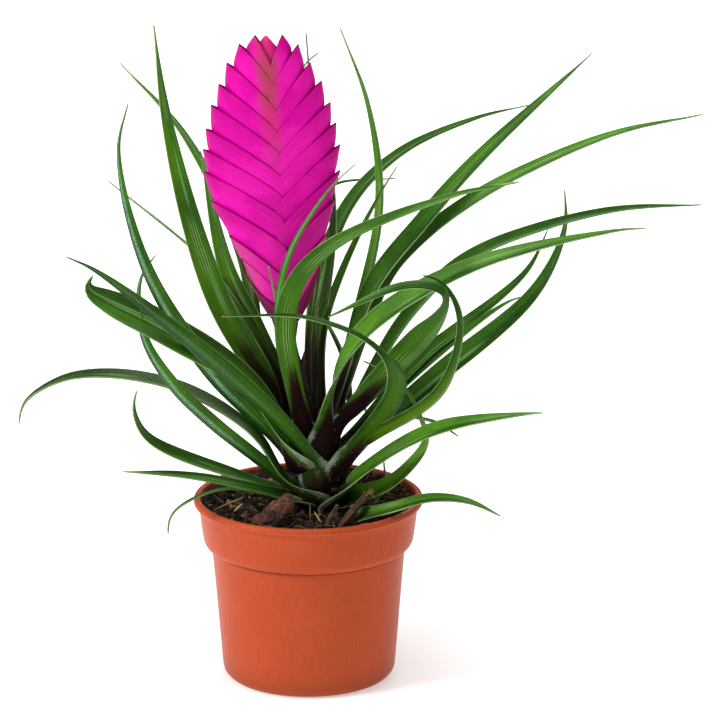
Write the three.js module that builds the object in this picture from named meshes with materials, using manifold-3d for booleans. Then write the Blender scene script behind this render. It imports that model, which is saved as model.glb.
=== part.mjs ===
// Pink quill plant in a round plastic nursery pot.
// Millimetres, +Z up. The origin is the middle of the pot's flat base; the front of the plant faces -Y.
import * as THREE from "three";
import { mergeGeometries, mergeVertices } from "three/addons/utils/BufferGeometryUtils.js";
import Module from "manifold-3d";

const wasm = await Module();
wasm.setup();

// Driving dimensions ---------------------------------------------------------------------------

const clearance = 0.3; // gap between pieces that touch

// Pot
const rimRadius = 45;
const potHeight = 72.6;
const collarTopRadius = 43;
const collarFootRadius = 41.4;
const collarFootHeight = 56.4;
const bodyTopRadius = 38.1;
const bodyTopHeight = 52.8;
const bodyFootRadius = 34.2;
const footRounding = 4;
const beadHeight = 2.6;
const wall = 1.2;
const floorThickness = 1.6;
const potSides = 36;
const drainHoles = 8;
const drainRadius = 3;
const drainRing = 21;
const drainSides = 12;

// Soil
const soilHeight = 68.4; // in the middle
const soilRise = 0.06; // it lies higher at the back than at the front
const stemHoleRadius = 10;
const stemHoleFloor = 58.2;
const soilRings = [40.8, 33, 25, 16, 8]; // radii of the rings of points that make its top uneven

// Stem, in the middle of the rosette: it leans a little to the left
const stemFoot = [5.5, 0, 58.5];
const stemTop = [1.4, 0, 92];
const stemRadius = 5.2;
const stemSides = 14;
const socketDepth = 5;

// Flower stalk and quill
const stalkRadius = [2.6, 3.4]; // at its foot and under the quill
const stalkSides = 12;
const stalkSteps = 8;
const stalkBend = [-3.2, 0, 114];
const scaleCount = 5; // scale leaves that clasp the stalk
const scaleLength = 19;
const scaleWidth = 6.6;
const scaleOut = [1.8, 3.4]; // from the stalk's axis, at their foot and tip
const scaleSpan = [0.36, 0.56]; // where they spring, as shares of the stalk's length
const scaleTurn = 144;
const scaleFirstBearing = -60;
const scaleTaper = 2.4;
const scaleSteps = 4;
const quillFoot = [-8, 0, 136];
const quillTip = [-15.4, 0, 254.6];
const quillBow = 0.6; // the axis bows out to the left
const quillSweep = 119; // from the foot to the highest bract tips
const quillHalfThickness = 5.4;
const bractPairs = 12;
const bractHeight = 27;
const bractLift = 1.5; // how far a bract's free margin stands out
const leftDrop = 18.5; // how far its free margin falls from the tip to the middle line
const rightDrop = 15.5;
const bractInset = 4; // how far a bract's foot reaches past the middle line
const keelCurve = 2.3; // how early its keel swings out to the tip
const marginCurve = 1.35; // how its free margin sags
const lowestTip = 20; // height of the lowest bract tip above the quill's foot
const tipsCrowd = 1.25; // how much closer the tips sit towards the top
const rightLead = 1.5; // how much higher a right tip sits than its left one
const coreHeights = [0, 14, 30, 48, 66, 84, 98, 108, 114, quillSweep - 0.4];
const coreSides = 10;
// The outline of the quill: height above its foot, and how far the bract tips reach to each side.
const quillOutline = [
  [0, 5],
  [20, 11],
  [40, 18.4],
  [66, 26.6],
  [92, 23.2],
  [108, 16.9],
  [115, 12.8],
  [119, 5.2],
];

// Leaves: width of the blade, roll about its midrib in degrees above the sheath and at the tip (or rows
// of [share of the length, roll]), how bluntly it tapers, and the route of the midrib from the top of
// the sheath to the tip.
const bladeThickness = 0.9;
const marginThickness = 0.6;
const plainTaper = 1.7;
const sheathShare = 0.22; // of a leaf's length
const sheathFlare = 0.5; // how much wider the sheath is than the blade
const footShare = 0.5; // width of the foot, as a share of the blade's
const tipHalfWidth = 0.45;
const bladeSteps = 8;
const bentBladeSteps = 11; // on a leaf with a sharper bend
const twistedBladeSteps = 13; // on a leaf that turns over
const footDrop = 12; // from the top of the sheath down to the leaf's foot
const footHeights = [62, 86]; // the lowest and the highest foot
const footOffset = 2.5; // from the stem's middle
const bladeBend = 0.8; // half the angle of the blade's channel, in radians
const sheathBend = 0.4; // and how much more it is bent at the foot
const sheathBendShare = 0.3; // of a leaf's length
const leaves = [
  // Left, front to back
  { wide: 13, roll: [-30, -50], taper: 3.2, route: [[3, -7, 70], [-10, -9, 83], [-21, -8, 100],
    [-53, 2, 116.5], [-92, 8, 118.5], [-112, 10, 107], [-114, 10, 98]] },
  { wide: 13, roll: [0, 35], route: [[3, -8, 80], [-6, -13, 101], [-25, -24, 124], [-76, -66, 179],
    [-86, -74, 186]] },
  { wide: 16, roll: [-55, -60], taper: 4, route: [[-4, -6, 90], [-11, -6, 107], [-24, -6, 122],
    [-58, -10, 143.5], [-77, -13, 154], [-84.5, -15, 160], [-81, -16, 165]] },
  { wide: 12, roll: [60, 20], route: [[-4, -5, 86], [-18, -8, 104], [-36, -11, 124], [-61, -14, 167],
    [-71, -11, 212], [-67, -8, 230]] },
  { wide: 11, roll: [65, 40], route: [[-1, -3, 71], [-37, -10, 105], [-51, -13, 120],
    [-63, -10, 140], [-64, -3, 161], [-58, 2, 169]] },
  { wide: 11.5, roll: [-5, -60], route: [[-3, -2, 71.5], [-21, -3, 79], [-62, -10, 99], [-67, -14, 113],
    [-65, -16, 120]] },
  { wide: 9, roll: [-30, 0], route: [[-1, -5, 71], [-12, -10, 76], [-43, -29, 89], [-69, -48, 97]] },
  { wide: 6, roll: [0, 0], route: [[-3, -4, 71], [-13, -10, 75], [-32, -22, 82], [-48, -32, 78.5],
    [-52.5, -34, 74], [-53, -36, 68]] },
  { wide: 14, roll: [-58, -25], route: [[-6, 5, 98], [-32.5, 8, 144], [-44, 13, 175], [-55, 24, 219],
    [-60, 36, 253]] },
  { wide: 12, roll: [-30, -45], route: [[-4, 6, 101], [-21.5, 16, 137.5], [-32, 23, 158], [-43, 46, 201]] },
  { wide: 9, roll: [-5, -30], route: [[-3, 8, 93], [-17, 13, 115], [-26, 31, 161], [-50, 58, 205],
    [-77, 78, 231]] },
  { wide: 8, roll: [-15, 30], route: [[-7, 3, 99], [-11, 3, 117], [-26, 7, 144], [-38, 20, 159],
    [-81, 56, 187]] },
  // In front of the quill
  { wide: 7, roll: [0, 0], route: [[-2, -6, 100], [-11, -10, 136], [-8, -18, 170], [8, -23, 199],
    [19, -24, 210]] },
  { wide: 12.5, roll: [45, 25], route: [[0, -6, 94], [-8, -13, 145], [-3, -19, 164], [11, -28, 180],
    [54, -54, 204], [68, -62, 209], [78, -68, 212]] },
  { wide: 15, roll: [[0, -50], [0.4, -40], [0.6, 60], [1, 65]], route: [[10.5, -5, 84], [20, -9.5, 96],
    [34.5, -24, 123], [27, -33, 141], [1, -45, 156], [-31, -52, 158]] },
  // Right, front to back
  { wide: 10, roll: [[0, 0], [0.35, 10], [0.6, 45], [1, 40]], route: [[8, -6, 70], [16, -14, 72],
    [32, -26, 76.5], [47, -31, 81], [62, -35, 81], [74, -38, 76]] },
  { wide: 12, roll: [65, 10], route: [[11, -4, 70], [33, -13, 82], [46.5, -17, 100], [45, -17, 106],
    [35, -16, 124], [21, -14, 131]] },
  { wide: 13, roll: [50, 32], route: [[9, -8, 74], [19, -14, 85], [47, -34, 108], [82, -60, 123],
    [88, -64, 124.5]] },
  { wide: 12.5, roll: [-45, 0], route: [[11, -4, 84], [23, -10, 98], [51, -26, 122], [58, -34, 153],
    [50, -36, 168], [43, -37, 170]] },
  { wide: 15, roll: [[0, -50], [0.5, -45], [0.7, 35], [1, 28]], taper: 2.6, route: [[9, -3, 94],
    [20.5, -9, 113], [32.5, -18, 129], [52, -35, 157], [52, -38, 165], [37, -42, 168], [8, -46, 156]] },
  { wide: 13, roll: [[0, -20], [0.12, -10], [0.3, 65], [1, 45]], route: [[6, -7, 96], [10.5, -10, 122],
    [23, -15, 144], [60, -32, 171.5], [113, -61, 192.5], [124, -68, 195]] },
  { wide: 12.5, roll: [-25, -65], route: [[8, -2, 91], [23, -2, 119], [39, -3, 146], [61, -6, 169],
    [89, -9, 182], [119, -12, 190], [150, -14, 192]] },
  { wide: 12, roll: [60, 65], route: [[12, 0, 85], [36, 2, 108], [51, 3, 121], [88, 10, 152],
    [100, 18, 175.5], [100, 24, 190]] },
  { wide: 11, roll: [10, 35], route: [[12, 2, 88], [48, 14, 128], [54.5, 16, 132.5], [86, 32, 155],
    [95, 42, 170]] },
  { wide: 10, roll: [10, 30], route: [[12, 2, 86], [36, 8, 114], [80, 19, 147], [86, 20, 148]] },
  { wide: 13.5, roll: [0, 60], route: [[7, 3, 92], [15, 4, 123], [24.5, 8, 153.5], [44.5, 16, 178.5],
    [65, 27, 200], [112, 52, 239]] },
  { wide: 13.5, roll: [0, 25], route: [[8, 5, 89], [30, 13, 155], [40, 16, 168], [67, 22, 188],
    [118, 32, 210], [155, 38, 217]] },
  // Back and middle
  { wide: 8, roll: [0, 5], route: [[5, 7, 93], [17, 18, 132], [28, 34, 180], [24, 48, 217],
    [12, 62, 248]] },
  { wide: 8.5, roll: [10, 15], route: [[1, 9, 101], [3, 29, 146], [15, 47, 178], [36, 64, 196.5],
    [67, 83, 207], [91, 98, 210]] },
  { wide: 6, roll: [0, 0], route: [[2, 7, 97], [4, 11, 134], [11, 21, 181], [-1, 44, 249]] },
  { wide: 4.5, roll: [0, 0], route: [[1, 9, 96], [0, 13, 132], [4, 23, 168], [-3, 59, 231],
    [4, 66, 237]] },
  { wide: 4, roll: [55, 65], route: [[1, 8, 101], [1, 27, 150], [2, 39, 174], [8, 47, 186],
    [35, 64, 186]] },
  { wide: 7, roll: [25, 10], route: [[6, 2, 99], [6, 6, 137], [14, 10, 162], [29, 19, 191],
    [35, 22, 200]] },
  { wide: 7, roll: [0, 0], route: [[10, 5, 94], [16, 9, 105], [14, 17, 123], [0, 30, 148]] },
];

// Low leaves that arch over the back of the pot. A seeded rule draws each one's bearing, reach and width.
const backLeafCount = 5;
const backLeafSeed = 11;
const backLeafSpan = [62, 118]; // bearings in degrees, from +X
const backLeafReach = [70, 112];
const backLeafTop = [86, 100];
const backLeafWidth = [8.5, 11.5];
const backLeafSwing = 14; // the most that a tip swings aside, in degrees
const backLeafCollar = 76;

// Bark on the soil: each piece from its lower to its upper end
const barkChip = { from: [-20.5, -22.5, 69.2], to: [-6.5, -22.5, 76.2], width: 7, thickness: 8, sides: 8 };
const largeStick = { from: [12.3, -28, 67.6], to: [23.2, -25.5, 79.5], width: 3.3, thickness: 2.8, sides: 6 };
const smallStick = { from: [7.2, -29, 67.5], to: [11.6, -26, 76.1], width: 2.2, thickness: 2, sides: 6 };
const barkRoughness = 0.16; // of its width

// Helpers ---------------------------------------------------------------------------------------

const vec = (p) => new THREE.Vector3(...p);
const clamp = THREE.MathUtils.clamp;
const degrees = THREE.MathUtils.degToRad;

// A closed geometry as a solid that can be joined and cut.
function solid(geometry) {
  const bare = new THREE.BufferGeometry();
  bare.setAttribute("position", geometry.getAttribute("position"));
  if (geometry.index) bare.setIndex(geometry.index);
  const merged = mergeVertices(bare, 1e-4);
  return new wasm.Manifold(
    new wasm.Mesh({
      numProp: 3,
      vertProperties: merged.attributes.position.array,
      triVerts: new Uint32Array(merged.index.array),
    }),
  );
}

// A solid back as a geometry.
function geometryOf(body) {
  const mesh = body.getMesh();
  const geometry = new THREE.BufferGeometry();
  geometry.setAttribute("position", new THREE.BufferAttribute(mesh.vertProperties, 3));
  geometry.setIndex(new THREE.BufferAttribute(mesh.triVerts, 1));
  return geometry;
}

// The largest outer surface of a fused body: sealed hollows are filled and loose scraps dropped.
function outerBody(body) {
  const shells = body.decompose();
  return shells.reduce((best, shell) => (shell.volume() > best.volume() ? shell : best));
}

// Repeatable random numbers from 0 to 1.
function seeded(seed) {
  let state = seed;
  return () => {
    state = (state * 16807) % 2147483647;
    return state / 2147483647;
  };
}

function geometryFrom(points, triangles) {
  const geometry = new THREE.BufferGeometry();
  const places = points.flatMap((point) => point.toArray());
  geometry.setAttribute("position", new THREE.Float32BufferAttribute(places, 3));
  geometry.setIndex(triangles.flat());
  return geometry;
}

// The smooth value of a list of [position, value] rows.
function along(rows, position) {
  const last = rows.length - 1;
  let i = rows.findIndex((row) => row[0] > position) - 1;
  if (i < 0) i = position < rows[0][0] ? 0 : last - 1;
  const t = clamp((position - rows[i][0]) / (rows[i + 1][0] - rows[i][0]), 0, 1);
  const slope = (k) => {
    const a = rows[Math.max(k - 1, 0)];
    const b = rows[Math.min(k + 1, last)];
    return (b[1] - a[1]) / (b[0] - a[0]);
  };
  const span = rows[i + 1][0] - rows[i][0];
  const h = t * t * (3 - 2 * t);
  const bend = span * (t * (1 - t) ** 2 * slope(i) - t * t * (1 - t) * slope(i + 1));
  return rows[i][1] * (1 - h) + rows[i + 1][1] * h + bend;
}

// A tapered rod along a straight or bent axis, from stations of [place, radius, flatness front to back].
function rod(stations, sides) {
  const points = [];
  const triangles = [];
  stations.forEach(([place, radius, flat = 1]) => {
    for (let k = 0; k < sides; k++) {
      const turn = (2 * Math.PI * k) / sides;
      const x = place[0] + radius * Math.cos(turn);
      const y = place[1] + radius * flat * Math.sin(turn);
      points.push(new THREE.Vector3(x, y, place[2]));
    }
  });
  for (let i = 0; i < stations.length - 1; i++) {
    for (let k = 0; k < sides; k++) {
      const a = i * sides + k;
      const b = i * sides + ((k + 1) % sides);
      triangles.push([a, b, b + sides], [a, b + sides, a + sides]);
    }
  }
  const lastRing = (stations.length - 1) * sides;
  for (let k = 1; k < sides - 1; k++) {
    triangles.push([0, k + 1, k], [lastRing, lastRing + k, lastRing + k + 1]);
  }
  return geometryFrom(points, triangles);
}

// Strap leaf --------------------------------------------------------------------------------------

const stemAxis = (height) => {
  const t = (height - stemFoot[2]) / (stemTop[2] - stemFoot[2]);
  return vec(stemFoot).lerp(vec(stemTop), t);
};

// The blade's width along its length: a wide sheath above a narrow foot, then a long taper to the tip.
function bladeWidth(t, taper) {
  const sheath = t === 0 ? footShare : 1 + sheathFlare * clamp(1 - t / sheathShare, 0, 1) ** 2;
  return (sheath * Math.tanh(taper * (1 - t))) / Math.tanh(taper);
}

// How far the blade is bent into a channel: half the angle of its arc, in radians.
const channel = (t) => bladeBend + sheathBend * clamp(1 - t / sheathBendShare, 0, 1);

// A leaf's roll at a share of its length, in degrees.
const rollAt = (roll, t) => (Array.isArray(roll[0]) ? along(roll, t) : THREE.MathUtils.lerp(...roll, t));

// Frames along a leaf: place, side and inner normal, carried along without twisting and then rolled.
function leafFrames(leaf, steps) {
  const collar = leaf.route[0];
  const axis = stemAxis(clamp(collar[2] - footDrop, ...footHeights));
  const outward = vec(leaf.route[1]).sub(stemAxis(leaf.route[1][2])).setZ(0).normalize();
  const foot = axis.clone().addScaledVector(outward, footOffset);
  const curve = new THREE.CatmullRomCurve3([foot, ...leaf.route.map(vec)], false, "centripetal");
  let side = new THREE.Vector3(-outward.y, outward.x, 0);
  const frames = [];
  for (let i = 0; i <= steps; i++) {
    const t = i / steps;
    const place = curve.getPointAt(t);
    const ahead = curve.getTangentAt(t);
    side = side.addScaledVector(ahead, -side.dot(ahead)).normalize();
    const inner = new THREE.Vector3().crossVectors(ahead, side);
    const turn = degrees(rollAt(leaf.roll, t) * THREE.MathUtils.smoothstep(t, 0, sheathShare));
    const rolledSide = side.clone().applyAxisAngle(ahead, turn);
    const rolledInner = inner.applyAxisAngle(ahead, turn);
    frames.push({ t, place, side: rolledSide, inner: rolledInner });
  }
  return frames;
}

// A thin channelled blade through the frames. Both faces are split into triangles alike.
function blade(frames, width, taper = plainTaper, across = 2) {
  const points = [];
  const triangles = [];
  const row = 2 * (across + 1);
  for (const { t, place, side, inner } of frames) {
    const half = Math.max((width * bladeWidth(t, taper)) / 2, tipHalfWidth);
    const bend = channel(t);
    const radius = half / bend;
    for (const face of [1, -1]) {
      for (let j = 0; j <= across; j++) {
        const u = (2 * j) / across - 1;
        const angle = bend * u;
        const thick = THREE.MathUtils.lerp(bladeThickness, marginThickness, Math.abs(u)) / 2;
        const sideways = (radius - face * thick) * Math.sin(angle);
        const up = (radius * (1 + Math.cos(bend))) / 2 - (radius - face * thick) * Math.cos(angle);
        points.push(place.clone().addScaledVector(side, sideways).addScaledVector(inner, up));
      }
    }
  }
  const under = across + 1;
  for (let i = 0; i < frames.length - 1; i++) {
    const here = i * row;
    const next = here + row;
    for (let j = 0; j < across; j++) {
      triangles.push([here + j, next + j + 1, here + j + 1], [here + j, next + j, next + j + 1]);
      const a = here + under + j;
      const b = next + under + j;
      triangles.push([a, a + 1, b + 1], [a, b + 1, b]);
    }
    const margin = here + across;
    const nextMargin = next + across;
    triangles.push([margin, nextMargin + under, margin + under]);
    triangles.push([margin, nextMargin, nextMargin + under]);
    triangles.push([here, here + under, next + under], [here, next + under, next]);
  }
  const end = (frames.length - 1) * row;
  for (let j = 0; j < across; j++) {
    triangles.push([j, j + 1, under + j + 1], [j, under + j + 1, under + j]);
    const a = end + j;
    triangles.push([a, a + under + 1, a + 1], [a, a + under, a + under + 1]);
  }
  return geometryFrom(points, triangles);
}

// The low back leaves, each with the same arch at its own bearing.
function backLeaves() {
  const random = seeded(backLeafSeed);
  const between = ([low, high]) => THREE.MathUtils.lerp(low, high, random());
  const axis = stemAxis(backLeafCollar);
  const spacing = (backLeafSpan[1] - backLeafSpan[0]) / backLeafCount;
  return Array.from({ length: backLeafCount }, (_, k) => {
    const bearing = backLeafSpan[0] + spacing * (k + random());
    const reach = between(backLeafReach);
    const top = between(backLeafTop);
    const swing = between([-backLeafSwing, backLeafSwing]);
    const at = (share, height) => {
      const turn = degrees(bearing + swing * share * share);
      return [axis.x + reach * share * Math.cos(turn), reach * share * Math.sin(turn), height];
    };
    const climb = [at(0.07, backLeafCollar), at(0.3, top - 5), at(0.62, top)];
    const fall = [at(0.88, top - 6), at(1, top - 14)];
    return { wide: between(backLeafWidth), roll: [0, swing], route: [...climb, ...fall] };
  });
}

// How many steps a leaf takes along its length.
function stepsFor(leaf) {
  if (Array.isArray(leaf.roll[0])) return twistedBladeSteps;
  return leaf.route.length > 5 ? bentBladeSteps : bladeSteps;
}

// The stem and all leaves fused into one body, with the socket of the flower stalk.
function makeRosette() {
  const stem = rod(
    [
      [stemFoot, stemRadius - 1],
      [stemAxis(stemFoot[2] + 4).toArray(), stemRadius],
      [stemAxis(stemTop[2] - 8).toArray(), stemRadius],
      [stemTop, stemRadius - 0.8],
    ],
    stemSides,
  );
  let body = solid(stem);
  [...leaves, ...backLeaves()].forEach((leaf) => {
    body = body.add(solid(blade(leafFrames(leaf, stepsFor(leaf)), leaf.wide, leaf.taper)));
  });
  return geometryOf(outerBody(body.subtract(solid(stalkRod(clearance)))));
}

// Flower stalk ------------------------------------------------------------------------------------

const stalkCurve = new THREE.CatmullRomCurve3(
  [stemAxis(stemTop[2] - socketDepth), vec(stalkBend), vec(quillFoot)],
  false,
  "centripetal",
);

// The bare stalk, or the room it needs when it is made wider all round.
function stalkRod(margin) {
  const stations = [];
  for (let i = 0; i <= stalkSteps; i++) {
    const t = i / stalkSteps;
    const place = stalkCurve.getPointAt(t).toArray();
    if (i === 0) place[2] += clearance - margin;
    if (i === stalkSteps) place[2] -= clearance;
    const widened = margin / Math.cos(Math.PI / stalkSides);
    stations.push([place, THREE.MathUtils.lerp(...stalkRadius, t) + widened]);
  }
  return rod(stations, stalkSides);
}

// The stalk with the scale leaves that clasp it.
function makeStalk() {
  let body = solid(stalkRod(0));
  for (let k = 0; k < scaleCount; k++) {
    const share = THREE.MathUtils.lerp(...scaleSpan, k / (scaleCount - 1));
    const bearing = degrees(scaleTurn * k + scaleFirstBearing);
    const out = new THREE.Vector3(Math.cos(bearing), Math.sin(bearing), 0);
    const frames = [];
    for (let i = 0; i <= scaleSteps; i++) {
      const t = i / scaleSteps;
      const at = Math.min(share + (t * scaleLength) / stalkCurve.getLength(), 1);
      const ahead = stalkCurve.getTangentAt(at);
      const away = THREE.MathUtils.lerp(...scaleOut, t ** 1.5);
      const place = stalkCurve.getPointAt(at).addScaledVector(out, away);
      const side = new THREE.Vector3().crossVectors(ahead, out).normalize();
      // A scale is shaped like the last three quarters of a leaf.
      frames.push({ t: 0.25 + 0.75 * t, place, side, inner: out.clone().negate() });
    }
    body = body.add(solid(blade(frames, scaleWidth, scaleTaper)));
  }
  return geometryOf(outerBody(body));
}

// Flower quill ------------------------------------------------------------------------------------

const quillUp = vec(quillTip).sub(vec(quillFoot)).normalize();
const quillAcross = new THREE.Vector3(quillUp.z, 0, -quillUp.x);

// A point of the quill from its distance to the right of the axis, to the front, and above its foot.
function quillPoint(across, front, height) {
  const bow = quillBow * Math.sin((Math.PI * height) / quillSweep);
  const foot = vec(quillFoot).add(vec([0, -front, 0]));
  return foot.addScaledVector(quillAcross, across - bow).addScaledVector(quillUp, height);
}

const quillReach = (height) => along(quillOutline, clamp(height, 0, quillSweep));

// Half the thickness of the closed head under the bracts.
function headThickness(across, height) {
  const foot = 0.62 + 0.38 * clamp(height / 30, 0, 1);
  const top = 1 - 0.55 * clamp((height - 85) / 34, 0, 1);
  const middle = quillHalfThickness * foot * top;
  const share = clamp(Math.abs(across) / quillReach(height), 0, 1);
  return middle * Math.sqrt(1 - share * share);
}

// One folded bract: its keel runs from the middle of the head to the tip at the outline, and its free
// margin from behind the middle line to the same tip.
function bract(sideSign, tipHeight, drop) {
  const reach = quillReach(tipHeight);
  const tall = Math.min(bractHeight, tipHeight - 1);
  const fall = Math.min(drop * (0.32 + 0.93 * Math.min(reach / 20, 1)), tall);
  const inset = Math.min(bractInset, 0.7 * reach);
  const rows = 5;
  const columns = 2;
  const points = [];
  for (const face of [1, -1]) {
    for (let i = 0; i <= rows; i++) {
      const a = i / rows;
      const keelAcross = reach * (1 - (1 - a) ** keelCurve);
      const keelHeight = tipHeight - tall * (1 - a);
      const marginAcross = (reach + inset) * a - inset;
      const marginHeight = tipHeight - fall * (1 - a) ** marginCurve;
      for (let j = 0; j <= columns; j++) {
        const b = j / columns;
        const across = THREE.MathUtils.lerp(keelAcross, marginAcross, b) + (a === 1 ? -0.5 * b : 0);
        const height = THREE.MathUtils.lerp(keelHeight, marginHeight, b) + (a === 1 ? -0.3 * b : 0);
        const swell = 1 - (1 - b) ** 4;
        const front = 0.35 + headThickness(across, height) * swell + bractLift * b ** 1.2;
        points.push(quillPoint(sideSign * across, face * front, height));
      }
    }
  }
  const triangles = [];
  const width = columns + 1;
  const back = (rows + 1) * width;
  const quad = (a, b, c, d) => triangles.push([a, b, c], [a, c, d]);
  for (let i = 0; i < rows; i++) {
    for (let j = 0; j < columns; j++) {
      const a = i * width + j;
      quad(a, a + width, a + width + 1, a + 1);
      quad(back + a, back + a + 1, back + a + width + 1, back + a + width);
    }
    const keel = i * width;
    quad(keel, back + keel, back + keel + width, keel + width);
    const margin = keel + columns;
    quad(margin, margin + width, back + margin + width, back + margin);
  }
  for (let j = 0; j < columns; j++) {
    quad(j, j + 1, back + j + 1, back + j);
    const top = rows * width + j;
    quad(top, back + top, back + top + 1, top + 1);
  }
  const faces = sideSign < 0 ? triangles.map(([a, b, c]) => [a, c, b]) : triangles;
  return geometryFrom(points, faces);
}

// The closed head with the pairs of bracts that overlap up both its sides.
function makeQuill() {
  const core = coreHeights.map((height) => {
    const radius = Math.max(0.8 * quillReach(height) * (1 - (height / quillSweep) ** 14), 0.8);
    return [quillPoint(0, 0, height).toArray(), radius, (headThickness(0, height) * 0.92) / radius];
  });
  let body = solid(rod(core, coreSides));
  for (let k = 0; k < bractPairs; k++) {
    const climb = 1 - (1 - k / (bractPairs - 1)) ** tipsCrowd;
    const tipHeight = THREE.MathUtils.lerp(lowestTip, quillSweep, climb);
    body = body.add(solid(bract(-1, tipHeight, leftDrop)));
    const rightTip = Math.min(tipHeight + rightLead, quillSweep - 0.2);
    body = body.add(solid(bract(1, rightTip, rightDrop)));
  }
  return geometryOf(outerBody(body));
}

// Pot ---------------------------------------------------------------------------------------------

// The outside of the pot from the middle of its base to the top of its rim: [radius, height].
function potProfile() {
  const profile = [[0, 0], [bodyFootRadius - footRounding, 0]];
  for (let k = 1; k <= 4; k++) {
    const turn = (k / 4) * (Math.PI / 2);
    profile.push([
      bodyFootRadius - footRounding + footRounding * Math.sin(turn),
      footRounding - footRounding * Math.cos(turn),
    ]);
  }
  profile.push([bodyTopRadius, bodyTopHeight]);
  for (let k = 1; k <= 3; k++) {
    const turn = (k / 3) * (Math.PI / 2);
    profile.push([
      bodyTopRadius + (collarFootRadius - bodyTopRadius) * Math.sin(turn),
      collarFootHeight - (collarFootHeight - bodyTopHeight) * Math.cos(turn),
    ]);
  }
  profile.push([collarTopRadius, potHeight - beadHeight]);
  profile.push([rimRadius - 0.6, potHeight - beadHeight]);
  profile.push([rimRadius, potHeight - beadHeight * 0.75]);
  profile.push([rimRadius, potHeight - beadHeight * 0.35]);
  profile.push([rimRadius - 0.8, potHeight]);
  profile.push([collarTopRadius - 0.4, potHeight]);
  return profile;
}

const innerProfile = [
  [collarTopRadius - wall, potHeight - beadHeight],
  [collarFootRadius - wall, collarFootHeight + wall / 2],
  [bodyTopRadius - wall, bodyTopHeight],
  [bodyFootRadius - wall, footRounding + 0.8],
  [bodyFootRadius - footRounding, floorThickness],
];

const lathe = (profile, sides) =>
  new THREE.LatheGeometry(profile.map(([r, z]) => new THREE.Vector2(r, z)), sides).rotateX(Math.PI / 2);

// The pot: its wall, its floor and the drain holes round it.
function makePot() {
  let body = solid(lathe([...potProfile(), ...innerProfile, [0, floorThickness]], potSides));
  for (let k = 0; k < drainHoles; k++) {
    const turn = (2 * Math.PI * (k + 0.5)) / drainHoles;
    const hole = new THREE.CylinderGeometry(drainRadius, drainRadius, 3 * floorThickness, drainSides);
    hole.rotateX(Math.PI / 2);
    hole.translate(drainRing * Math.cos(turn), drainRing * Math.sin(turn), floorThickness / 2);
    body = body.subtract(solid(hole));
  }
  return geometryOf(body);
}

// Soil --------------------------------------------------------------------------------------------

// The height of the soil's uneven top.
function soilTop(x, y) {
  const lumps = 0.5 * Math.sin(x * 0.31 + 1) * Math.cos(y * 0.27) + 0.35 * Math.sin(x * 0.17 - y * 0.36);
  return soilHeight + soilRise * y + lumps;
}

// The soil fills the pot, and has a hole for the stem and the feet of the leaves.
function makeSoil() {
  const side = innerProfile
    .slice(1)
    .reverse()
    .map(([r, z]) => [r - clearance, z + (z < footRounding + 1 ? clearance : 0)]);
  const top = soilRings.map((r) => [r, soilHeight]);
  const profile = [[0, floorThickness + clearance], ...side, ...top, [0, soilHeight]];
  const geometry = lathe(profile, potSides);
  const position = geometry.getAttribute("position");
  for (let i = 0; i < position.count; i++) {
    if (position.getZ(i) < soilHeight - 0.01) continue;
    position.setZ(i, soilTop(position.getX(i), position.getY(i)));
  }
  const hole = new THREE.CylinderGeometry(stemHoleRadius, stemHoleRadius, 20, 20);
  hole.rotateX(Math.PI / 2);
  hole.translate(stemFoot[0] - 0.6, 0, stemHoleFloor + 10);
  return geometryOf(solid(geometry).subtract(solid(hole)));
}

// Bark --------------------------------------------------------------------------------------------

// A torn piece of bark between two ends, thick in the middle.
function bark({ from, to, width, thickness, sides }) {
  const a = vec(from);
  const b = vec(to);
  const ahead = b.clone().sub(a).normalize();
  const side = new THREE.Vector3().crossVectors(ahead, new THREE.Vector3(0, 0, 1)).normalize();
  const up = new THREE.Vector3().crossVectors(side, ahead);
  const shape = [[0, 0.45], [0.2, 0.85], [0.5, 1], [0.8, 0.7], [1, 0.25]];
  const points = [];
  const triangles = [];
  for (const [t, share] of shape) {
    for (let k = 0; k < sides; k++) {
      const turn = (2 * Math.PI * k) / sides;
      const rough = 1 + barkRoughness * Math.sin(5 * turn + 9 * t);
      points.push(
        a.clone().lerp(b, t)
          .addScaledVector(side, (share * rough * width * Math.cos(turn)) / 2)
          .addScaledVector(up, (share * rough * thickness * Math.sin(turn)) / 2),
      );
    }
  }
  for (let i = 0; i < shape.length - 1; i++) {
    for (let k = 0; k < sides; k++) {
      const p = i * sides + k;
      const q = i * sides + ((k + 1) % sides);
      triangles.push([p, p + sides, q + sides], [p, q + sides, q]);
    }
  }
  const end = (shape.length - 1) * sides;
  for (let k = 1; k < sides - 1; k++) {
    triangles.push([0, k, k + 1], [end, end + k + 1, end + k]);
  }
  return geometryFrom(points, triangles);
}

// The whole object --------------------------------------------------------------------------------

function piece(name, geometry, colour, roughness) {
  const material = new THREE.MeshStandardMaterial({ color: colour, roughness, metalness: 0 });
  const mesh = new THREE.Mesh(geometry, material);
  mesh.name = name;
  return mesh;
}

const plant = new THREE.Group();
plant.add(piece("pot", makePot(), 0xcd5f3c, 0.5));
plant.add(piece("soil", makeSoil(), 0x32231c, 1));
plant.add(piece("rosette", makeRosette(), 0x3c7828, 0.45));
plant.add(piece("flower_stalk", makeStalk(), 0x3a1a24, 0.5));
plant.add(piece("flower_quill", makeQuill(), 0xec00aa, 0.5));
plant.add(piece("bark_chip", bark(barkChip), 0x6e4132, 0.9));
plant.add(piece("bark_stick_large", bark(largeStick), 0x6b4a34, 0.9));
plant.add(piece("bark_stick_small", bark(smallStick), 0x4b3426, 0.9));

export default plant;
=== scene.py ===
# Pink quill plant in a plastic nursery pot: leaves, bracts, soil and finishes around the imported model.
import math
import random

import bmesh
import bpy
from mathutils import Matrix, Vector, noise


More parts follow.
